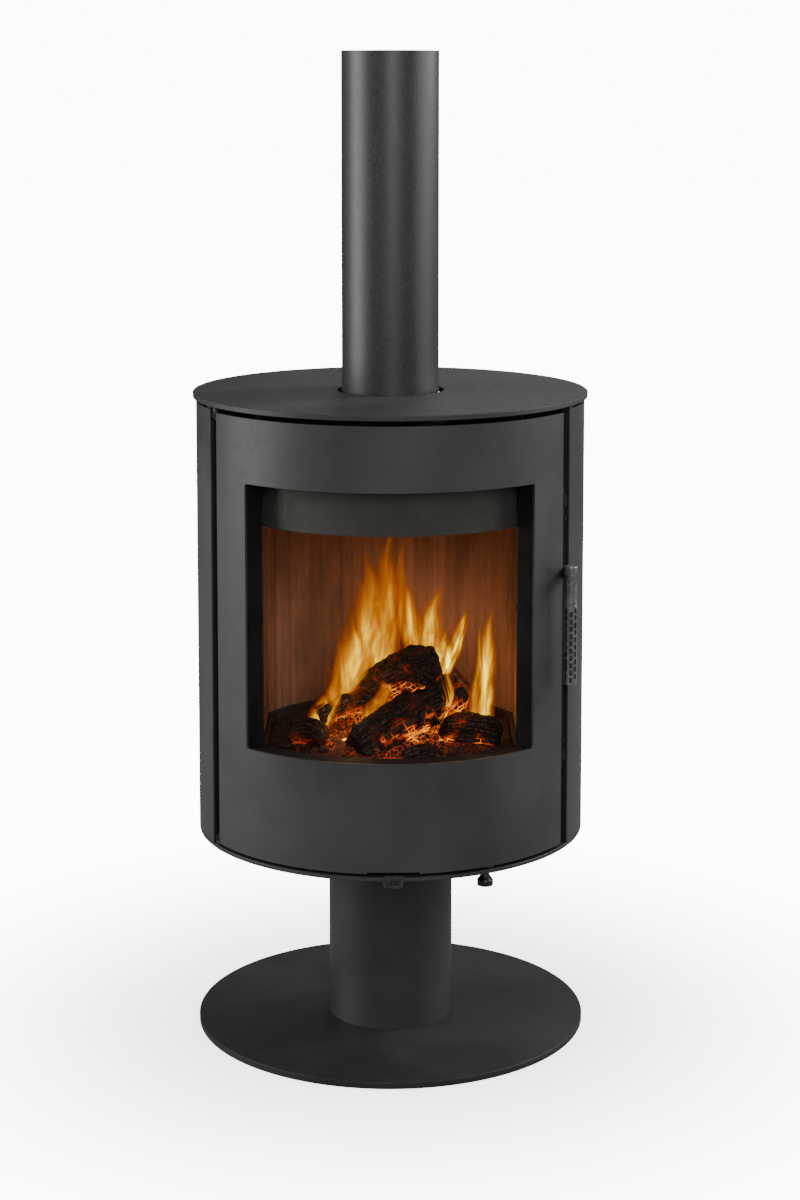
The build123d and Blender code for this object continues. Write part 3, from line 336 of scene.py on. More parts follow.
def flue_finish(name, colour):
    """Painted pipe with a fine metallic fleck and faint upright streaks."""
    finish = Finish(name)
    fleck = finish.noise(900.0, 3.0, 0.7)
    mottle = finish.noise(300.0, 5.0, 0.65)
    streak = finish.noise(60.0, 3.0, 0.5, stretch=(1.0, 1.0, 0.06))
    dark, light, spark = shade(colour, 0.80), shade(colour, 1.25, 0.002), shade(colour, 2.6, 0.02)
    base = finish.mix(finish.span(mottle, 0.20, 0.80), dark, light)
    base = finish.mix(finish.times(finish.span(fleck, 0.55, 0.74), 0.30), base, spark)
    base = finish.mix(finish.span(streak, 0.3, 0.7, 0.0, 0.25), base, dark)
    finish.set(
        Base_Color=base, Metallic=0.35, Roughness=finish.span(mottle, 0.3, 0.7, 0.36, 0.50),
        Normal=finish.bump(fleck, 0.00004, 0.6, finish.bump(mottle, 0.00008, 0.4)),
    )
    return finish.material


def worked_steel(name, colour, roughness, along=(1.0, 1.0, 0.03)):
    """Bare or browned steel with fine drawn lines and heat or finger blotches."""
    finish = Finish(name)
    lines = finish.noise(1500.0, 2.0, 0.6, stretch=along)
    patches = finish.noise(70.0, 5.0, 0.62)
    pits = finish.noise(700.0, 3.0, 0.7)
    dark, light = shade(colour, 0.65), shade(colour, 1.35)
    base = finish.mix(finish.span(patches, 0.32, 0.68), dark, light)
    base = finish.mix(finish.span(lines, 0.3, 0.7, 0.0, 0.3), base, dark)
    finish.set(
        Base_Color=base, Metallic=0.9,
        Roughness=finish.math("ADD", finish.span(patches, 0.3, 0.7, roughness - 0.06, roughness + 0.08),
                              finish.span(pits, 0.5, 0.8, 0.0, 0.08)),
        Normal=finish.bump(lines, 0.00003, 0.5, finish.bump(pits, 0.00004, 0.4)),
    )
    return finish.material


def sooted_steel(name, colour, gloss=0.5):
    """The firebox's own steel: matt, heat-dulled, with soft soot clouds."""
    finish = Finish(name)
    soot = finish.noise(14.0, 6.0, 0.6)
    scale = finish.noise(260.0, 4.0, 0.65)
    rust = tuple(channel * tint for channel, tint in zip(colour, (2.2, 1.9, 1.7)))
    base = finish.mix(finish.span(soot, 0.35, 0.7), colour, shade(colour, 0.55))
    base = finish.mix(finish.span(scale, 0.62, 0.8, 0.0, 0.3), base, rust)
    finish.set(Base_Color=base, Roughness=finish.span(soot, 0.3, 0.7, 0.55, 0.78),
               Specular_IOR_Level=gloss, Normal=finish.bump(scale, 0.00008, 0.6))
    return finish.material


def low_shade_paint(name, colour, shade_fade_low, shade_fade_high):
    """The firebox front's paint, with painted shade: near-black low down beside the embers, fading to its
    plain colour towards its head.
    """
    finish = Finish(name)
    cloud = finish.noise(14.0, 6.0, 0.6)
    scale = finish.noise(260.0, 4.0, 0.65)
    unshaded = finish.span(finish.part_of_place("Z"), shade_fade_low, shade_fade_high)
    base = finish.mix(finish.span(cloud, 0.35, 0.7, 0.0, 0.5), colour, shade(colour, 0.75))
    # Painted shade: near-black below the lower height, fading out by the upper one.
    base = finish.mix(unshaded, (0.0035, 0.0032, 0.003), base)
    finish.set(Base_Color=base, Roughness=finish.span(cloud, 0.3, 0.7, 0.58, 0.70),
               Specular_IOR_Level=0.35, Normal=finish.bump(scale, 0.00006, 0.5))
    return finish.material


def cast_surface(name, colour):
    """Sand-cast iron: pitted, rough and sooty with ash dust on its high spots."""
    finish = Finish(name)
    sand = finish.noise(520.0, 5.0, 0.7)
    swell = finish.noise(45.0, 3.0, 0.5)
    ash = finish.noise(24.0, 7.0, 0.7)
    base = finish.mix(finish.span(ash, 0.52, 0.78, 0.0, 0.35), colour, (0.11, 0.10, 0.09))
    finish.set(Base_Color=base, Metallic=0.0, Roughness=finish.span(sand, 0.3, 0.7, 0.62, 0.85),
               Normal=finish.bump(sand, 0.00025, 0.7, finish.bump(swell, 0.0008, 0.4)))
    return finish.material


def brick(name, colour, soot_colour):
    """Fired lining brick: porous, each slat a little different, with soot rising from the fire."""
    finish = Finish(name)
    pores = finish.cells(700.0)
    grains = finish.noise(300.0, 5.0, 0.65)
    # Slats differ in shade round the drum: the bearing is turned into one band for each slat.
    bearing = finish.math("ARCTAN2", finish.part_of_place("X"), finish.part_of_place("Y"))
    band = finish.math("FLOOR", finish.times(bearing, SLATS_PER_RADIAN))
    tone = finish.add("ShaderNodeTexWhiteNoise", {"W": band}, noise_dimensions="1D").outputs["Value"]
    licks = finish.noise(11.0, 5.0, 0.6, stretch=(1.0, 1.0, 0.35))
    base = finish.mix(finish.span(grains, 0.3, 0.7), shade(colour, 0.82), colour)
    base = finish.mix(finish.span(tone, 0.0, 1.0, 0.0, 0.42), base, shade(colour, 0.45))
    base = finish.mix(finish.span(licks, 0.46, 0.72, 0.0, 0.55), base, soot_colour)
    finish.set(Base_Color=base, Roughness=finish.span(grains, 0.3, 0.7, 0.8, 0.95),
               Specular_IOR_Level=0.25,
               Normal=finish.bump(pores, 0.0003, 0.5, finish.bump(grains, 0.0003, 0.6)))
    return finish.material


def window_glass(name):
    """Clear ceramic glass: light passes straight through it, with a little gloss at a low angle."""
    finish = Finish(name)
    clear = finish.add("ShaderNodeBsdfTransparent", {"Color": (0.96, 0.95, 0.93)})
    gloss = finish.add("ShaderNodeBsdfGlossy", {"Color": (1.0, 1.0, 1.0), "Roughness": 0.05})
    edge = finish.add("ShaderNodeFresnel", {"IOR": 1.05})
    finish.sheet(edge.outputs[0], clear.outputs[0], gloss.outputs[0])
    return finish.material


def rope_fibre(name, colour):
    """Braided glass rope, blackened where it meets the firebox."""
    finish = Finish(name)
    fuzz = finish.noise(1800.0, 3.0, 0.7)
    stain = finish.noise(30.0, 5.0, 0.6)
    base = finish.mix(finish.span(stain, 0.35, 0.7), colour, shade(colour, 0.4))
    finish.set(Base_Color=base, Roughness=0.92, Sheen_Weight=0.3, Sheen_Roughness=0.6,
               Normal=finish.bump(fuzz, 0.0002, 0.7))
    return finish.material


# === Fire finishes ====================================================================================
def charred_wood(name):
    """Charred log: rows of black blocks checked across the grain, with heat glowing in the joints."""
    finish = Finish(name)
    warmth = finish.attribute("warmth")
    grain = finish.attribute("grain_place", "Vector")
    wander = finish.add("ShaderNodeTexNoise", {"Vector": grain, "Scale": 55.0, "Detail": 3.0})
    grain = finish.add("ShaderNodeMix", {0: GRAIN_WANDER, 4: grain, 5: wander.outputs["Color"]},
                       data_type="VECTOR").outputs[1]
    blocks = finish.add("ShaderNodeTexBrick", {
        "Vector": grain, "Scale": 1.0, "Mortar Size": CHAR_JOINT, "Mortar Smooth": 0.9,
        "Brick Width": CHAR_WIDTH, "Row Height": CHAR_ROW,
    }, offset=0.5, squash=0.8, squash_frequency=3).outputs["Fac"]
    splits = finish.cells(62.0, "DISTANCE_TO_EDGE", finish.stretched(grain, (0.22, 1.0, 1.0)))
    fibre = finish.noise(520.0, 4.0, 0.65, stretch=(0.15, 1.0, 1.0), place=grain)
    patch = finish.span(finish.noise(24.0, 3.0, 0.5), 0.44, 0.62)
    crack = finish.math("MAXIMUM", blocks, finish.span(splits, 0.0, 0.10, 1.0, 0.0))
    seam = finish.times(crack, finish.times(patch, warmth))
    spread = finish.times(finish.span(warmth, 0.62, 1.0, 0.0, 0.55), finish.span(fibre, 0.44, 0.60))
    heat = finish.math("ADD", seam, finish.times(spread, patch), limit=True)
    wood = finish.ramp(fibre, (0.25, (0.008, 0.004, 0.003)), (0.52, (0.040, 0.016, 0.011)),
                       (0.80, (0.24, 0.105, 0.066)))
    wood = finish.mix(crack, wood, (0.003, 0.002, 0.002))
    glow = finish.ramp(heat, (0.0, (0.25, 0.006, 0.001)), (0.45, (1.0, 0.08, 0.006)),
                       (1.0, (1.0, 0.36, 0.015)))
    sunk = finish.math("SUBTRACT", 1.0, crack)
    finish.set(
        Base_Color=wood, Roughness=0.78, Specular_IOR_Level=0.35, Emission_Color=glow,
        Emission_Strength=finish.times(finish.math("POWER", heat, 1.7), 2.0),
        Normal=finish.bump(sunk, 0.0020, 1.0, finish.bump(fibre, 0.0007, 0.7)),
    )
    return finish.material


def ember_finish(name):
    """Embers: dark crust and pale ash over orange heat that shows between the lumps."""
    finish = Finish(name)
    crust = finish.cells(120.0, "DISTANCE_TO_EDGE")
    cloud = finish.noise(34.0, 5.0, 0.6)
    dust = finish.noise(420.0, 4.0, 0.7)
    seam = finish.span(crust, 0.0, 0.12, 1.0, 0.0)
    shown = finish.math("ADD", finish.times(seam, 0.8), finish.span(cloud, 0.42, 0.72, 0.0, 0.75))
    heat = finish.times(finish.attribute("warmth"), shown, limit=True)
    base = finish.mix(finish.span(dust, 0.45, 0.75, 0.0, 0.6), (0.016, 0.010, 0.008), (0.16, 0.13, 0.115))
    glow = finish.ramp(heat, (0.0, (0.22, 0.006, 0.001)), (0.5, (1.0, 0.085, 0.005)),
                       (1.0, (1.0, 0.38, 0.02)))
    finish.set(
        Base_Color=base, Roughness=0.9, Specular_IOR_Level=0.25, Emission_Color=glow,
        Emission_Strength=finish.times(finish.math("POWER", heat, 2.0), 2.2),
        Normal=finish.bump(crust, 0.0012, 0.6, finish.bump(dust, 0.0006, 0.6)),
    )
    return finish.material


def flame_finish(name):
    """A flame's sheet: yellow where it burns hardest, orange and ragged towards its edge and tip."""
    finish = Finish(name)
    shape = finish.attribute("flame_shape", "Color")
    body, height, heat = finish.add("ShaderNodeSeparateColor", {0: shape}).outputs
    streak = finish.noise(52.0, 4.0, 0.55, stretch=(1.0, 1.0, 0.20), distortion=0.9)
    wisp = finish.noise(120.0, 3.0, 0.5, stretch=(1.0, 1.0, 0.14))
    ragged = finish.math("ADD", body, finish.times(finish.math("SUBTRACT", streak, 0.5), 1.7))
    veil = finish.times(finish.span(ragged, 0.10, 0.85), finish.span(height, 0.45, 1.0, 1.0, 0.12))
    veil = finish.times(veil, finish.span(height, 0.0, 0.10, 0.25, 1.0))
    veil = finish.times(veil, finish.span(wisp, 0.25, 0.75, 0.72, 1.0))
    core = finish.times(finish.times(finish.span(ragged, 0.35, 1.50), heat),
                        finish.span(height, 0.15, 0.95, 1.0, 0.30), limit=True)
    colour = finish.ramp(core, (0.0, (0.85, 0.13, 0.003)), (0.28, (1.0, 0.36, 0.005)),
                         (0.58, (1.0, 0.66, 0.008)), (0.95, (1.0, 0.88, 0.10)))
    power = finish.math("ADD", finish.span(core, 0.10, 1.0, 0.65, 4.6),
                        finish.times(finish.math("POWER", core, 7.0), 9.0))
    glow = finish.add("ShaderNodeEmission", {"Color": colour, "Strength": power})
    clear = finish.add("ShaderNodeBsdfTransparent", {"Color": (1.0, 1.0, 1.0)})
    finish.sheet(finish.times(veil, 0.42, limit=True), clear.outputs[0], glow.outputs[0])
    return finish.material


# === Fire shapes ======================================================================================
def warmth_layer(bm):
    """The layer that stores how hot each vertex is, from 0 to 1."""
    return bm.verts.layers.float.get("warmth") or bm.verts.layers.float.new("warmth")


def warm(bm, value):
    """Stores how hot each vertex is: value is a function of its place."""
    layer = warmth_layer(bm)
    for vertex in bm.verts:
        vertex[layer] = clamp(value(vertex.co))


def add_log(bm, start, end, radius, seed, flats, warmth):
    """Adds one split log between two points: round bark on one side and flat splits on the others."""
    layer = warmth_layer(bm)
    grain_layer = bm.verts.layers.float_vector.new("grain_place")
    rng = random.Random(seed)
    axis = (end - start).normalized()
    side = axis.cross(Vector((0, 0, 1))).normalized()
    up = side.cross(axis)
    length = (end - start).length
    rings = max(LOG_LEAST_RINGS, int(length / LOG_RING_PITCH))
    faces = [(rng.uniform(0, 2 * pi), rng.uniform(*FLAT_DEPTHS)) for _ in range(flats)]
    offset = Vector((seed * 3.1, seed * 1.7, seed * 0.9))

    def profile(angle, along):
        """The reach of the log's surface, as a share of its radius."""
        reach = 1.0
        for facing, depth in faces:
            turn = cos(angle - facing - 0.25 * (along - 0.5))
            if turn > 0.05:
                reach = min(reach, depth / turn)
        return reach * (1.0 + 0.05 * sin(2 * angle + seed))

    def wear(distance):
        """How much narrower the log is at a distance from one end."""
        return 0.10 * exp(-(distance / LOG_WEAR) ** 2)

    def relief(point, angle, along):
        """Bark's grain, its ridges and the charred blocks, as a share of the radius."""
        grain = noise.noise((point + offset) * 55) * 0.05
        ridges = noise.noise(Vector((angle * 5 + seed, along * 2.2, seed))) * 0.05
        block = noise.cell(Vector((angle * 3.2 + seed, along * length * 95, 0)))
        return grain + ridges + (block - 0.5) * 0.045

    rows = []
    for ring in range(rings + 1):
        along = ring / rings
        bow = up * LOG_BOW * sin(pi * along) + side * LOG_SWAY * sin(5 * along + seed)
        centre = start.lerp(end, along) + bow
        narrow = 1.0 - wear(along * length) - wear((1 - along) * length)
        row = []
        for step in range(LOG_SIDES):
            angle = 2 * pi * step / LOG_SIDES
            direction = side * cos(angle) + up * sin(angle)
            point = centre + direction * radius * profile(angle, along)
            vertex = bm.verts.new(centre + (point - centre) * (narrow + relief(point, angle, along)))
            under = 0.5 - 0.5 * sin(angle)
            vertex[layer] = clamp(warmth * (0.15 + 0.85 * under) + 0.25 * noise.noise(point * 30))
            vertex[grain_layer] = Vector((along * length, abs(angle - pi) * radius, seed))
            row.append(vertex)
        rows.append(row)
    bridge(bm, rows)

    # The sawn ends: rings that close in on the middle, with a rough face.
    for rim, centre, out in ((rows[0], start, -1), (rows[-1], end, 1)):
        outer = rim
        for ring in range(1, LOG_END_RINGS):
            share = 1 - ring / LOG_END_RINGS
            inner = []
            for step in range(LOG_SIDES):
                place = centre.lerp(rim[step].co, share)
                rough = 0.0016 * noise.noise(place * 160) + 0.0010 * sin(share * 60)
                vertex = bm.verts.new(place + axis * out * (0.0015 + rough))
                vertex[layer] = warmth * 0.22
                bearing = abs(2 * pi * step / LOG_SIDES - pi)
                vertex[grain_layer] = Vector((share * radius, bearing * radius, seed))
                inner.append(vertex)
            for step in range(LOG_SIDES):
                ahead = (step + 1) % LOG_SIDES
                bm.faces.new((outer[step], inner[step], inner[ahead], outer[ahead]))
            outer = inner
        bm.faces.new(outer)


def add_lump(bm, centre, size, seed, warmth):
    """Adds one irregular ember."""
    layer = warmth_layer(bm)
    turn = Matrix.Rotation(seed * 1.3, 4, "Z") @ Matrix.Rotation(seed * 0.7, 4, "X")
    made = bmesh.ops.create_icosphere(bm, subdivisions=2, radius=1.0)["verts"]
    stretch = Vector((1.0, 0.72 + 0.2 * sin(seed), 0.55 + 0.2 * cos(seed * 2)))
    for vertex in made:
        facet = noise.voronoi(vertex.co * 1.3 + Vector((seed, 0, 0)))[0][0]
        shape = vertex.co * stretch * (0.82 + 0.35 * facet)
        vertex.co = centre + turn @ (shape * size)
        vertex[layer] = clamp(warmth + 0.2 * noise.noise(vertex.co * 60))


def bed_height(x, y):
    """The ember bed's surface: a low mound over the grate with a broken top."""
    reach = sqrt((x / BED_SPREAD[0]) ** 2 + ((y - BED_CENTRE_Y) / BED_SPREAD[1]) ** 2)
    mound = BED_CROWN * exp(-reach ** 4)
    coarse = 0.008 * noise.noise(Vector((x, y, 0)) * 38)
    fine = 0.004 * noise.noise(Vector((x, y, 2)) * 110)
    return GRATE_TOP + 0.004 + mound + (coarse + fine) * (0.4 + mound * 45)


def hot_spot(x, y, centre_x, reach_x, reach_y):
    """How hot the bed is at a place, from 0 to 1, by how near it is to the middle of the fire."""
    return exp(-((x - centre_x) / reach_x) ** 2 - ((y - HEAT_CENTRE_Y) / reach_y) ** 2)


def add_flame(bm, line, widths, heat, seed, turns):
    """Adds a flame: sheets along one rising line, one for each turn, thin at the edges and the tip."""
    layers = bm.verts.layers.float_color
    layer = layers.get("flame_shape") or layers.new("flame_shape")
    line = smooth_line(line, FLAME_STEPS)
    for turn in turns:
        rows = []
        for index, centre in enumerate(line):
            height = index / (len(line) - 1)
            place = height * (len(widths) - 1)
            low = min(int(place), len(widths) - 2)
            width = mix_numbers(widths[low], widths[low + 1], place - low)
            facing = radians(turn) + 0.35 * sin(3 * height + seed + turn)
            direction = Vector((cos(facing), sin(facing), 0))
            behind = Vector((-sin(facing), cos(facing), 0))
            sway = direction * width * 0.18 * noise.noise(Vector((height * 5, seed, turn)))
            row = []
            for step in range(FLAME_COLUMNS + 1):
                share = step / FLAME_COLUMNS * 2 - 1
                ripple = noise.noise(Vector((share * 1.4, height * 3.5 + seed, turn * 0.1)))
                curl = behind * (0.30 * width * (share ** 2 - 0.4) + 0.20 * width * ripple)
                vertex = bm.verts.new(centre + direction * width * share + curl + sway * height)
                vertex[layer] = (1 - abs(share) ** 1.6, height, heat, 1.0)
                row.append(vertex)
            rows.append(row)
        bridge(bm, rows, ring=False)


# === Light and stage ==================================================================================
def add_light(name, kind, place, power):
    """Adds a light at a place."""
    data = bpy.data.lights.new(name, kind)
    data.energy = power
    light = bpy.data.objects.new(name, data)
    light.location = place
    bpy.context.scene.collection.objects.link(light)
    return light


def area_light(name, place, target, width, height, power):
    """Adds a rectangular studio light that faces a target."""
    light = add_light(name, "AREA", place, power)
    light.data.shape = "RECTANGLE"
    light.data.size = width
    light.data.size_y = height
    light.rotation_euler = (Vector(target) - Vector(place)).to_track_quat("-Z", "Y").to_euler()


def floor_finish(name, colour):
    """A bright floor whose glow is painted dimmer round the base plate as a soft contact shadow, fading to
    the backdrop.
    """
    finish = Finish(name)
    distance = finish.add("ShaderNodeVectorMath", {0: finish.place}, operation="LENGTH").outputs["Value"]
    # Painted shadow: the glow drops to a share of the backdrop's beside the base plate.
    glow = finish.span(distance, *SHADE_REACH, SHADE_DEPTH * BACKDROP_GLOW, BACKDROP_GLOW)
    finish.set(Base_Color=colour, Roughness=0.7, Specular_IOR_Level=0.0,
               Emission_Color=(1.0, 1.0, 1.0), Emission_Strength=glow)
    # The floor is white to look at, and a darker grey to whatever it is mirrored in.
    dull = finish.add("ShaderNodeBsdfDiffuse", {"Color": MIRRORED_FLOOR})
    ray = finish.add("ShaderNodeLightPath")
    finish.sheet(ray.outputs["Is Camera Ray"], dull.outputs[0], finish.shader.outputs[0])
    return finish.material


# === Sizes and colours that a user would change =======================================================
class StoveFinishes(bpy.types.PropertyGroup):
    """Colours and sheen of the stove's surfaces."""

    casing_colour: bpy.props.FloatVectorProperty(
        name="Casing", description="Colour of the door, cladding, column and base", subtype="COLOR",
        default=(0.027, 0.027, 0.0285), min=0.0, max=1.0)
    casing_roughness: bpy.props.FloatProperty(
        name="Casing sheen", description="Roughness of the stove paint", subtype="FACTOR",
        default=0.54, min=0.0, max=1.0)
    flue_colour: bpy.props.FloatVectorProperty(
        name="Flue", description="Colour of the flue pipe", subtype="COLOR",
        default=(0.034, 0.034, 0.036), min=0.0, max=1.0)
    handle_colour: bpy.props.FloatVectorProperty(
        name="Handle", description="Colour of the grip and its arm", subtype="COLOR",
        default=(0.20, 0.205, 0.215), min=0.0, max=1.0)
    brick_colour: bpy.props.FloatVectorProperty(
        name="Lining", description="Colour of the firebox bricks", subtype="COLOR",
        default=(0.25, 0.14, 0.095), min=0.0, max=1.0)


class StoveFire(bpy.types.PropertyGroup):
    """The fire and its light."""

    lumps: bpy.props.IntProperty(
        name="Embers", description="Number of loose embers on the bed", default=120, min=0, max=1000)
    glow_power: bpy.props.FloatProperty(
        name="Firelight", description="Power of the light from the flames", subtype="POWER", unit="POWER",
        default=1.35, min=0.0)
    glow_colour: bpy.props.FloatVectorProperty(
        name="Firelight colour", description="Colour of the light from the flames", subtype="COLOR",
        default=(1.0, 0.48, 0.20), min=0.0, max=1.0)


class StoveStage(bpy.types.PropertyGroup):
    """The studio round the stove."""

    floor_colour: bpy.props.FloatVectorProperty(
        name="Floor", description="Colour of the plain floor", subtype="COLOR",
        default=(0.86, 0.86, 0.86), min=0.0, max=1.0)
    side_power: bpy.props.FloatProperty(
        name="Side lights", description="Power of each tall light beside the stove", subtype="POWER",
        unit="POWER", default=120.0, min=0.0)
    top_power: bpy.props.FloatProperty(
        name="Top light", description="Power of the broad light overhead", subtype="POWER", unit="POWER",
        default=34.0, min=0.0)
    camera_height: bpy.props.FloatProperty(
        name="Camera height", description="Height of the camera over the floor", subtype="DISTANCE",
        unit="LENGTH", default=1.479, min=0.1)
    camera_distance: bpy.props.FloatProperty(
        name="Camera distance", description="Distance from the camera to the stove's axis",
        subtype="DISTANCE", unit="LENGTH", default=3.776, min=0.5)
    camera_pitch: bpy.props.FloatProperty(
        name="Camera pitch", description="How far the camera looks down", subtype="ANGLE", unit="ROTATION",
        default=radians(6.55), min=0.0)


class STOVE_OT_stage(bpy.types.Operator):
    """Set up the floor, the studio lights and the camera"""

    bl_idname = "stove.stage"
    bl_label = "Stage, Lights and Camera"

    def execute(self, context):
        settings = context.scene.stove_stage
        bm = bmesh.new()
        bmesh.ops.create_circle(bm, cap_ends=True, segments=96, radius=FLOOR_RADIUS)
        floor_piece = link_mesh("floor", bm, floor_finish("stage_floor", tuple(settings.floor_colour)))

        power = settings.side_power
        area_light("left_light", (-3.1, -0.4, 1.5), LIGHT_AIM, 1.8, 2.6, power)
        area_light("right_light", (3.3, -0.3, 2.1), LIGHT_AIM, 2.4, 2.8, power * 0.65)
        area_light("rake_light", (3.0, 1.36, 2.35), LIGHT_AIM, 0.7, 1.2, power * 0.75)
        area_light("front_light", (0.5, -4.3, 2.3), LIGHT_AIM, 1.8, 1.8, power * 0.85)
        area_light("rear_light", (0.6, 3.6, 3.2), LIGHT_AIM, 1.6, 1.2, power * 0.10)
        area_light("top_light", (0.0, -0.4, 3.6), (0.0, 0.0, 0.0), 3.0, 3.0, settings.top_power)

        world = bpy.data.worlds.new("studio")
        context.scene.world = world
        world.use_nodes = True
        nodes, links = world.node_tree.nodes, world.node_tree.links
        ambient = nodes["Background"]
        backdrop = nodes.new("ShaderNodeBackground")
        for background, glow in ((ambient, AMBIENT_GLOW), (backdrop, BACKDROP_GLOW)):
            background.inputs["Color"].default_value = (1.0, 1.0, 1.0, 1.0)
            background.inputs["Strength"].default_value = glow
        ray = nodes.new("ShaderNodeLightPath")
        chosen = nodes.new("ShaderNodeMixShader")
        links.new(ray.outputs["Is Camera Ray"], chosen.inputs[0])
        links.new(ambient.outputs[0], chosen.inputs[1])
        links.new(backdrop.outputs[0], chosen.inputs[2])
        links.new(chosen.outputs[0], nodes["World Output"].inputs["Surface"])

        lens = bpy.data.cameras.new("camera")
        lens.sensor_width = SENSOR_WIDTH
        lens.lens = FOCAL_LENGTH
        lens.shift_y = LENS_SHIFT
        camera = bpy.data.objects.new("camera", lens)
        camera.location = (CAMERA_ASIDE, -settings.camera_distance, settings.camera_height)
        camera.rotation_euler = (pi / 2 - settings.camera_pitch, 0.0, 0.0)
        context.scene.collection.objects.link(camera)
        context.scene.camera = camera
        return {"FINISHED"}


class STOVE_OT_casing(bpy.types.Operator):
    """Paint the base, the column, the cladding, the plates and the flue"""

    bl_idname = "stove.casing"
    bl_label = "Casing and Flue"

    def execute(self, context):
        settings = context.scene.stove_finishes
        colour, roughness = tuple(settings.casing_colour), settings.casing_roughness
        paint(["side_panel_left", "side_panel_right", "rear_panel"],
              stove_paint("cladding_paint", colour, roughness))
        # Painted shade: the pedestal, base plate and top plate take the casing's own paint as darker
        # copies, standing in for the dimmer light on them.
        paint(["pedestal_column", "bottom_plate"],
              stove_paint("pedestal_paint_shaded", shade(colour, 0.80), roughness))
        paint(["base_plate"], stove_paint("base_paint_shaded", shade(colour, 0.50), roughness))
        paint(["top_plate"], stove_paint("top_plate_paint_shaded", shade(colour, 0.70), roughness + 0.04))
        paint(["flue_pipe"], flue_finish("flue_paint", tuple(settings.flue_colour)))
        # Painted shade: the cladding pillars sit in the gaps beside the door and take this near-black paint
        # so that the gaps read dark; the hidden inner parts share it.
        paint(["cladding_pillars", "top_spacers", "column_foot_flange", "column_head_flange", "air_tube",
               "firebox_feet", "heat_shield", "shield_spacers", "flue_collar"],
              sooted_steel("inner_casing_paint", (0.006, 0.006, 0.0063)))
        # Painted shade: the latch keepers and hinge pins in the gaps are painted near-black so that they
        # read as shade.
        paint(["latch_keepers", "hinge_pins"], sooted_steel("gap_shade_steel", (0.004, 0.004, 0.0042)))
        paint(["panel_screws", "foot_bolts", "head_bolts"],
              worked_steel("fastener_steel", (0.05, 0.05, 0.052), 0.40))
        return {"FINISHED"}


class STOVE_OT_firebox(bpy.types.Operator):
    """Finish the firebox steel, the brick lining, the fire basin and the grate"""

    bl_idname = "stove.firebox"
    bl_label = "Firebox and Lining"

    def execute(self, context):
        brick_colour = tuple(context.scene.stove_finishes.brick_colour)
        # The firebox front takes painted shade low down, beside the embers.
        low_shade_span = (SEAL_LOW.z + LOW_SHADE_START, SEAL_LOW.z + LOW_SHADE_END)
        paint(["firebox_shell"], low_shade_paint("shell_paint", (0.042, 0.042, 0.043), *low_shade_span))
        paint(["firebox_roof", "firebox_base", "firebox_floor", "ash_pan"],
              sooted_steel("firebox_steel", (0.030, 0.030, 0.031)))
        paint(["side_brick_left", "side_brick_right", "back_brick_1", "back_brick_2", "back_brick_3",
               "baffle_plate"], brick("lining_brick", brick_colour, (0.055, 0.035, 0.024)))
        paint(["fire_basin", "fire_grate"], cast_surface("fire_iron", (0.014, 0.0125, 0.012)))
        return {"FINISHED"}


class STOVE_OT_door(bpy.types.Operator):
    """Finish the door, its frame, its glass and its fittings"""

    bl_idname = "stove.door"
    bl_label = "Door"

    def execute(self, context):
        settings = context.scene.stove_finishes
        paint(["door_skin"],
              stove_paint("door_paint", tuple(settings.casing_colour), settings.casing_roughness))
        # Painted shade: the hinge knuckles and latch bushes in the gaps beside the door take the frame's
        # near-black paint so that they read as shade.
        paint(["door_frame", "hinge_knuckles", "latch_bushes"],
              sooted_steel("door_frame_paint", (0.005, 0.005, 0.0053), 0.16))
        paint(["door_glass"], window_glass("ceramic_glass"))
        paint(["glass_gasket"], rope_fibre("gasket_tape", (0.050, 0.048, 0.045)))
        paint(["glass_clips", "clip_screws"], worked_steel("clip_steel", (0.045, 0.044, 0.042), 0.5))
        return {"FINISHED"}


class STOVE_OT_door_rope(bpy.types.Operator):
    """Lay the braided rope seal round the back of the door"""

    bl_idname = "stove.door_rope"
    bl_label = "Rope Seal"

    def execute(self, context):
        # The seal's closed path on the unrolled drum: u along the arc and v upwards, with round corners.
        right = radians(ROPE_EDGE) * ROPE_MIDDLE - ROPE_CORNER
        low, high = SEAL_LOW.z + ROPE_INSET + ROPE_CORNER, SEAL_HIGH.z - ROPE_INSET - ROPE_CORNER
        corners = ((right, high), (-right, high), (-right, low), (right, low))
        path = []
        for quarter, (u, v) in enumerate(corners):
            for step in range(ROPE_CORNER_STEPS + 1):
                angle = pi / 2 * (quarter + step / ROPE_CORNER_STEPS)
                path.append(Vector((u + ROPE_CORNER * cos(angle), v + ROPE_CORNER * sin(angle))))
        line = []
        for point, following in zip(path, path[1:] + path[:1]):
            count = max(1, int((following - point).length / ROPE_STEP))
            line += [point.lerp(following, step / count) for step in range(count)]

        bm = bmesh.new()
        rows = []
        for index, point in enumerate(line):
            tangent = (line[(index + 1) % len(line)] - line[index - 1]).normalized()
            across = Vector((-tangent.y, tangent.x))
            row = []
            for step in range(ROPE_SIDES):
                angle = 2 * pi * step / ROPE_SIDES
                lay = index * pi / 4
                braid = BRAID_HEIGHT * abs(sin(lay + 4 * angle)) * abs(sin(lay - 4 * angle))
                reach = ROPE_RADIUS - BRAID_SINK + braid
                u, v = point + across * reach * cos(angle)
                place = on_drum(ROPE_MIDDLE + reach * sin(angle), degrees(u / ROPE_MIDDLE), v)
                row.append(bm.verts.new(place))
            rows.append(row)
        bridge(bm, rows, loop=True)
        rope = keep_mesh("rope_seal", bm, "door", rope_fibre("seal_rope", (0.16, 0.152, 0.14)))
        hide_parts("door_seal")
        return {"FINISHED"}


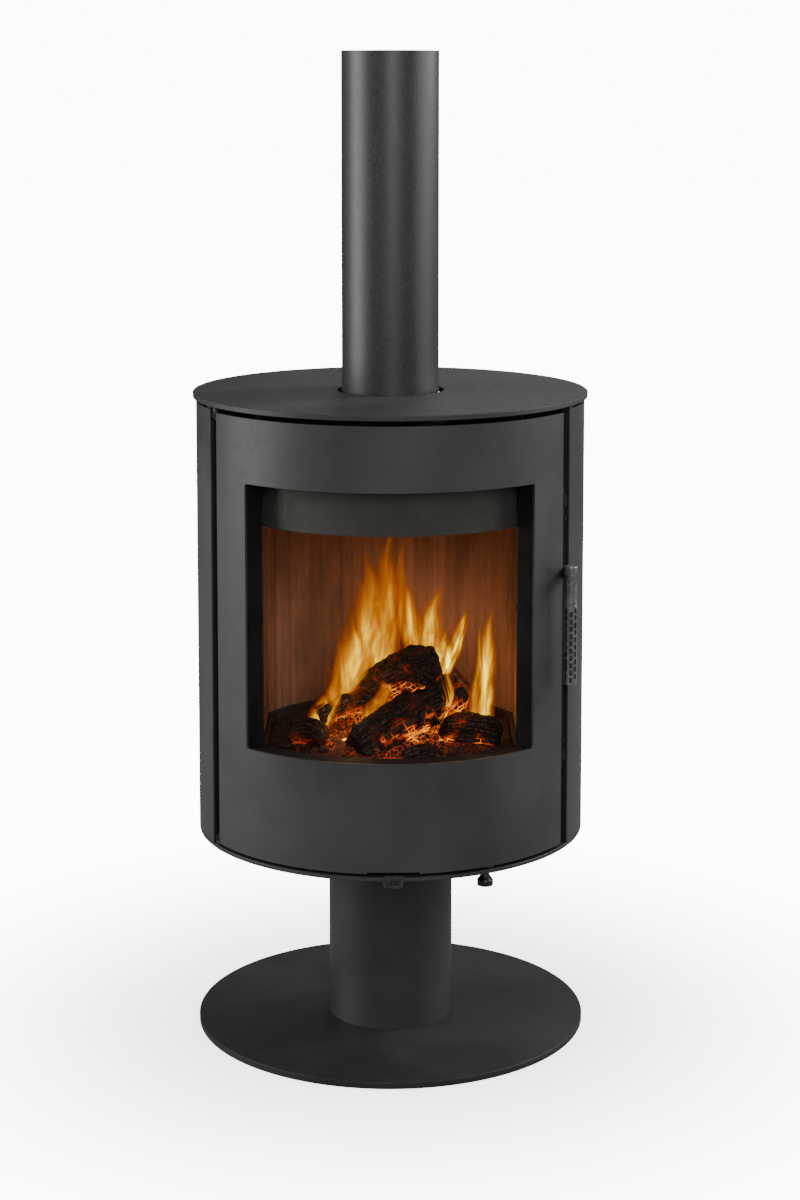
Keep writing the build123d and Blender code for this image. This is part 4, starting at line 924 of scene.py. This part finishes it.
class STOVE_OT_handle(bpy.types.Operator):
    """Finish the grip, its arm and the latch"""

    bl_idname = "stove.handle"
    bl_label = "Handle and Latch"

    def execute(self, context):
        colour = tuple(context.scene.stove_finishes.handle_colour)
        paint(["grip_cap", "grip_sleeve"], worked_steel("grip_steel", colour, 0.34, along=(1.0, 1.0, 0.04)))
        paint(["handle_arm"],
              worked_steel("arm_steel", shade(colour, 0.55), 0.42, along=(1.0, 0.05, 1.0)))
        paint(["grip_core"], sooted_steel("grip_core_paint", (0.006, 0.006, 0.0065)))
        # Painted shade: the latch rod, its collars and hooks sit in the gap beside the door and are painted
        # near-black so that they read as shade.
        paint(["latch_rod", "rod_collars", "latch_hooks"],
              worked_steel("latch_steel", (0.010, 0.010, 0.0105), 0.6))
        return {"FINISHED"}


class STOVE_OT_air_controls(bpy.types.Operator):
    """Finish the air lever, the air valve, the primary air slide and its knob"""

    bl_idname = "stove.air_controls"
    bl_label = "Air Controls"

    def execute(self, context):
        colour = tuple(context.scene.stove_finishes.handle_colour)
        paint(["air_lever"],
              worked_steel("lever_steel", shade(colour, 0.32), 0.36, along=(1.0, 0.05, 1.0)))
        paint(["primary_knob"],
              worked_steel("knob_steel", shade(colour, 0.22), 0.30, along=(1.0, 1.0, 30.0)))
        paint(["primary_slide", "slide_rails"], worked_steel("slide_steel", (0.05, 0.05, 0.052), 0.42))
        paint(["air_sleeve", "air_collar"], worked_steel("valve_steel", (0.10, 0.10, 0.105), 0.48))
        return {"FINISHED"}


class STOVE_OT_logs(bpy.types.Operator):
    """Stack the burning logs over the grate"""

    bl_idname = "stove.logs"
    bl_label = "Logs"

    def execute(self, context):
        # Each log: start, end, radius, flats and warmth, in metres from the stove's axis and the grate.
        logs = (
            ("log_upper", (0.052, -0.104, 0.150), (-0.060, 0.052, 0.036), 0.037, 4, 0.80),
            ("log_front", (-0.050, -0.136, 0.022), (0.100, -0.030, 0.090), 0.037, 3, 1.0),
            ("log_left", (-0.112, -0.036, 0.044), (-0.010, 0.012, 0.062), 0.019, 3, 0.85),
            ("log_right", (0.082, -0.070, 0.034), (0.166, -0.052, 0.018), 0.027, 3, 0.95),
            ("log_stub", (0.020, -0.158, 0.014), (0.072, -0.150, 0.012), 0.019, 3, 0.35),
            ("log_back", (0.052, 0.072, 0.124), (0.140, 0.052, 0.026), 0.016, 3, 0.7),
            ("log_chunk", (-0.146, -0.074, 0.026), (-0.100, -0.098, 0.030), 0.021, 4, 0.6),
            ("log_rear_left", (-0.070, 0.090, 0.024), (0.050, 0.100, 0.030), 0.024, 3, 0.6),
        )
        bark = charred_wood("charred_log")
        base = Vector((0.0, 0.0, GRATE_TOP))
        for number, (name, start, end, radius, flats, warmth) in enumerate(logs):
            bm = bmesh.new()
            add_log(bm, base + Vector(start), base + Vector(end), radius, number + 3, flats, warmth)
            keep_mesh(name, bm, BODY, bark)
        return {"FINISHED"}


class STOVE_OT_embers(bpy.types.Operator):
    """Spread the ember bed and its loose embers in the fire basin"""

    bl_idname = "stove.embers"
    bl_label = "Ember Bed"

    def execute(self, context):
        embers = ember_finish("embers")
        reach_x, reach_y = BASIN_HIGH.x - BED_RIM, BASIN_HIGH.y - BED_RIM
        bm = bmesh.new()
        columns, rows = BED_CELLS
        grid = {}
        for i in range(columns + 1):
            for j in range(rows + 1):
                x = reach_x * (2 * i / columns - 1)
                y = reach_y * (2 * j / rows - 1)
                if x * x + y * y <= (reach_y - BED_MARGIN) ** 2:
                    grid[i, j] = bm.verts.new((x, y, bed_height(x, y)))
        for i, j in grid:
            corners = [(i, j), (i + 1, j), (i + 1, j + 1), (i, j + 1)]
            if all(corner in grid for corner in corners):
                bm.faces.new([grid[corner] for corner in corners])
        warm(bm, lambda co: 1.05 * hot_spot(co.x, co.y, 0.01, 0.125, 0.135) - 0.04)
        keep_mesh("ember_bed", bm, BODY, embers)

        rng = random.Random(7)
        bm = bmesh.new()
        for number in range(context.scene.stove_fire.lumps):
            bearing = rng.uniform(0, 2 * pi)
            distance = EMBER_REACH * sqrt(rng.random())
            x = distance * cos(bearing)
            y = distance * sin(bearing) * EMBER_STRETCH_Y + EMBER_CENTRE_Y
            size = rng.uniform(*EMBER_SIZES)
            heat = 0.95 * hot_spot(x, y, 0.0, 0.12, 0.13) + rng.uniform(-0.1, 0.12)
            add_lump(bm, Vector((x, y, bed_height(x, y) + size * 0.25)), size, number * 0.37, heat)
        keep_mesh("loose_embers", bm, BODY, embers, smooth=False)
        return {"FINISHED"}


class STOVE_OT_flames(bpy.types.Operator):
    """Raise the flames and their light over the logs"""

    bl_idname = "stove.flames"
    bl_label = "Flames"

    def execute(self, context):
        settings = context.scene.stove_fire
        # Each flame: points of its rising line over the grate, half-widths, heat and a seed.
        flames = (
            ("flame_main_left",
             ((-0.085, -0.010, 0.035), (-0.062, -0.006, 0.110), (-0.034, 0.0, 0.190),
              (-0.030, 0.004, 0.255), (-0.044, 0.006, 0.292)),
             (0.036, 0.046, 0.040, 0.016, 0.002), 0.80, 1.0),
            ("flame_main_tall",
             ((-0.020, 0.004, 0.060), (-0.016, 0.008, 0.150), (-0.002, 0.010, 0.225),
              (-0.008, 0.012, 0.285), (0.006, 0.014, 0.335)),
             (0.034, 0.044, 0.030, 0.015, 0.002), 0.70, 2.3),
            ("flame_shoulder",
             ((0.040, 0.010, 0.110), (0.034, 0.010, 0.175), (0.026, 0.012, 0.225), (0.018, 0.012, 0.262)),
             (0.020, 0.026, 0.016, 0.002), 0.92, 3.1),
            ("flame_top",
             ((0.066, 0.0, 0.120), (0.064, 0.0, 0.170), (0.070, 0.004, 0.215), (0.082, 0.006, 0.246)),
             (0.030, 0.034, 0.018, 0.002), 1.0, 4.7),
            ("flame_crest",
             ((0.080, -0.020, 0.105), (0.098, -0.020, 0.150), (0.112, -0.018, 0.190),
              (0.124, -0.014, 0.214)),
             (0.018, 0.024, 0.012, 0.001), 1.15, 5.9),
            ("flame_lick",
             ((0.078, -0.080, 0.052), (0.094, -0.084, 0.088), (0.088, -0.084, 0.120),
              (0.080, -0.082, 0.150)),
             (0.005, 0.008, 0.005, 0.001), 1.1, 6.4),
            ("flame_right",
             ((0.146, -0.030, 0.010), (0.140, -0.026, 0.070), (0.150, -0.022, 0.125),
              (0.152, -0.020, 0.178), (0.160, -0.018, 0.215)),
             (0.022, 0.032, 0.022, 0.010, 0.001), 1.15, 7.2),
            ("flame_low_left",
             ((-0.118, -0.040, 0.020), (-0.104, -0.036, 0.055), (-0.088, -0.030, 0.090),
              (-0.084, -0.028, 0.118)),
             (0.026, 0.026, 0.014, 0.001), 0.9, 8.8),
            ("flame_between",
             ((-0.034, -0.072, 0.020), (-0.024, -0.070, 0.062), (-0.006, -0.066, 0.100),
              (-0.012, -0.062, 0.140)),
             (0.022, 0.024, 0.014, 0.002), 0.55, 9.5),
            ("flame_floor",
             ((-0.090, -0.080, 0.014), (-0.060, -0.082, 0.024), (-0.030, -0.086, 0.030),
              (0.0, -0.090, 0.048)),
             (0.008, 0.012, 0.010, 0.002), 1.2, 10.3),
        )
        sheet = flame_finish("flame")
        base = Vector((0.0, 0.0, GRATE_TOP))
        rng = random.Random(23)
        for name, spine, widths, heat, seed in flames:
            bm = bmesh.new()
            line = [base + Vector(point) for point in spine]
            add_flame(bm, line, widths, heat, seed, SHEET_TURNS)
            # Smaller tongues break up the outline on both sides.
            for tongue in range(TONGUES):
                reach, share = rng.uniform(0.45, 1.05), rng.uniform(-0.75, 0.75)
                stray = []
                for step, point in enumerate(line):
                    aside = widths[1] * share * (0.5 + 0.5 * step / len(line))
                    strayed = Vector((aside, rng.uniform(-0.01, 0.01), 0))
                    stray.append(line[0] + (point - line[0]) * reach + strayed)
                thin = [width * rng.uniform(0.28, 0.50) for width in widths]
                warmth = heat * rng.uniform(0.75, 1.1)
                add_flame(bm, stray, thin, warmth, seed + tongue + 0.5, (rng.uniform(-30, 30),))
            keep_mesh(name, bm, BODY, sheet)

        # The flames' own light: places over the grate and shares of its power.
        glows = (((0.03, 0.120, 0.150), 0.30), ((0.13, 0.01, 0.080), 0.20), ((-0.06, -0.09, 0.060), 0.15))
        for number, (place, share) in enumerate(glows):
            power = settings.glow_power * share
            light = add_light(f"firelight_{number}", "POINT", base + Vector(place), power)
            light.data.color = settings.glow_colour
            light.data.shadow_soft_size = FIRELIGHT_SOFTNESS
            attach(light, BODY)
        return {"FINISHED"}


class STOVE_PT_panel(bpy.types.Panel):
    """Lists the stove's finishes, fire and stage"""

    bl_label = "Wood Burning Stove"
    bl_idname = "STOVE_PT_panel"
    bl_space_type = "VIEW_3D"
    bl_region_type = "UI"
    bl_category = "Stove"

    def draw(self, context):
        layout = self.layout
        for group in (context.scene.stove_finishes, context.scene.stove_fire, context.scene.stove_stage):
            box = layout.box()
            for name in group.__annotations__:
                box.prop(group, name)
        for operator in OPERATORS:
            layout.operator(operator.bl_idname)


OPERATORS = (
    STOVE_OT_stage, STOVE_OT_casing, STOVE_OT_firebox, STOVE_OT_door, STOVE_OT_door_rope, STOVE_OT_handle,
    STOVE_OT_air_controls, STOVE_OT_embers, STOVE_OT_logs, STOVE_OT_flames,
)
GROUPS = (("stove_finishes", StoveFinishes), ("stove_fire", StoveFire), ("stove_stage", StoveStage))


def register():
    for name, group in GROUPS:
        bpy.utils.register_class(group)
        setattr(bpy.types.Scene, name, bpy.props.PointerProperty(type=group))
    for operator in OPERATORS:
        bpy.utils.register_class(operator)
    bpy.utils.register_class(STOVE_PT_panel)


def unregister():
    bpy.utils.unregister_class(STOVE_PT_panel)
    for operator in reversed(OPERATORS):
        bpy.utils.unregister_class(operator)
    for name, group in reversed(GROUPS):
        delattr(bpy.types.Scene, name)
        bpy.utils.unregister_class(group)


def main():
    """Registers the add-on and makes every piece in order."""
    register()
    bpy.ops.stove.stage()
    bpy.ops.stove.casing()
    bpy.ops.stove.firebox()
    bpy.ops.stove.door()
    bpy.ops.stove.door_rope()
    bpy.ops.stove.handle()
    bpy.ops.stove.air_controls()
    bpy.ops.stove.embers()
    bpy.ops.stove.logs()
    bpy.ops.stove.flames()


if __name__ == "__main__":
    main()
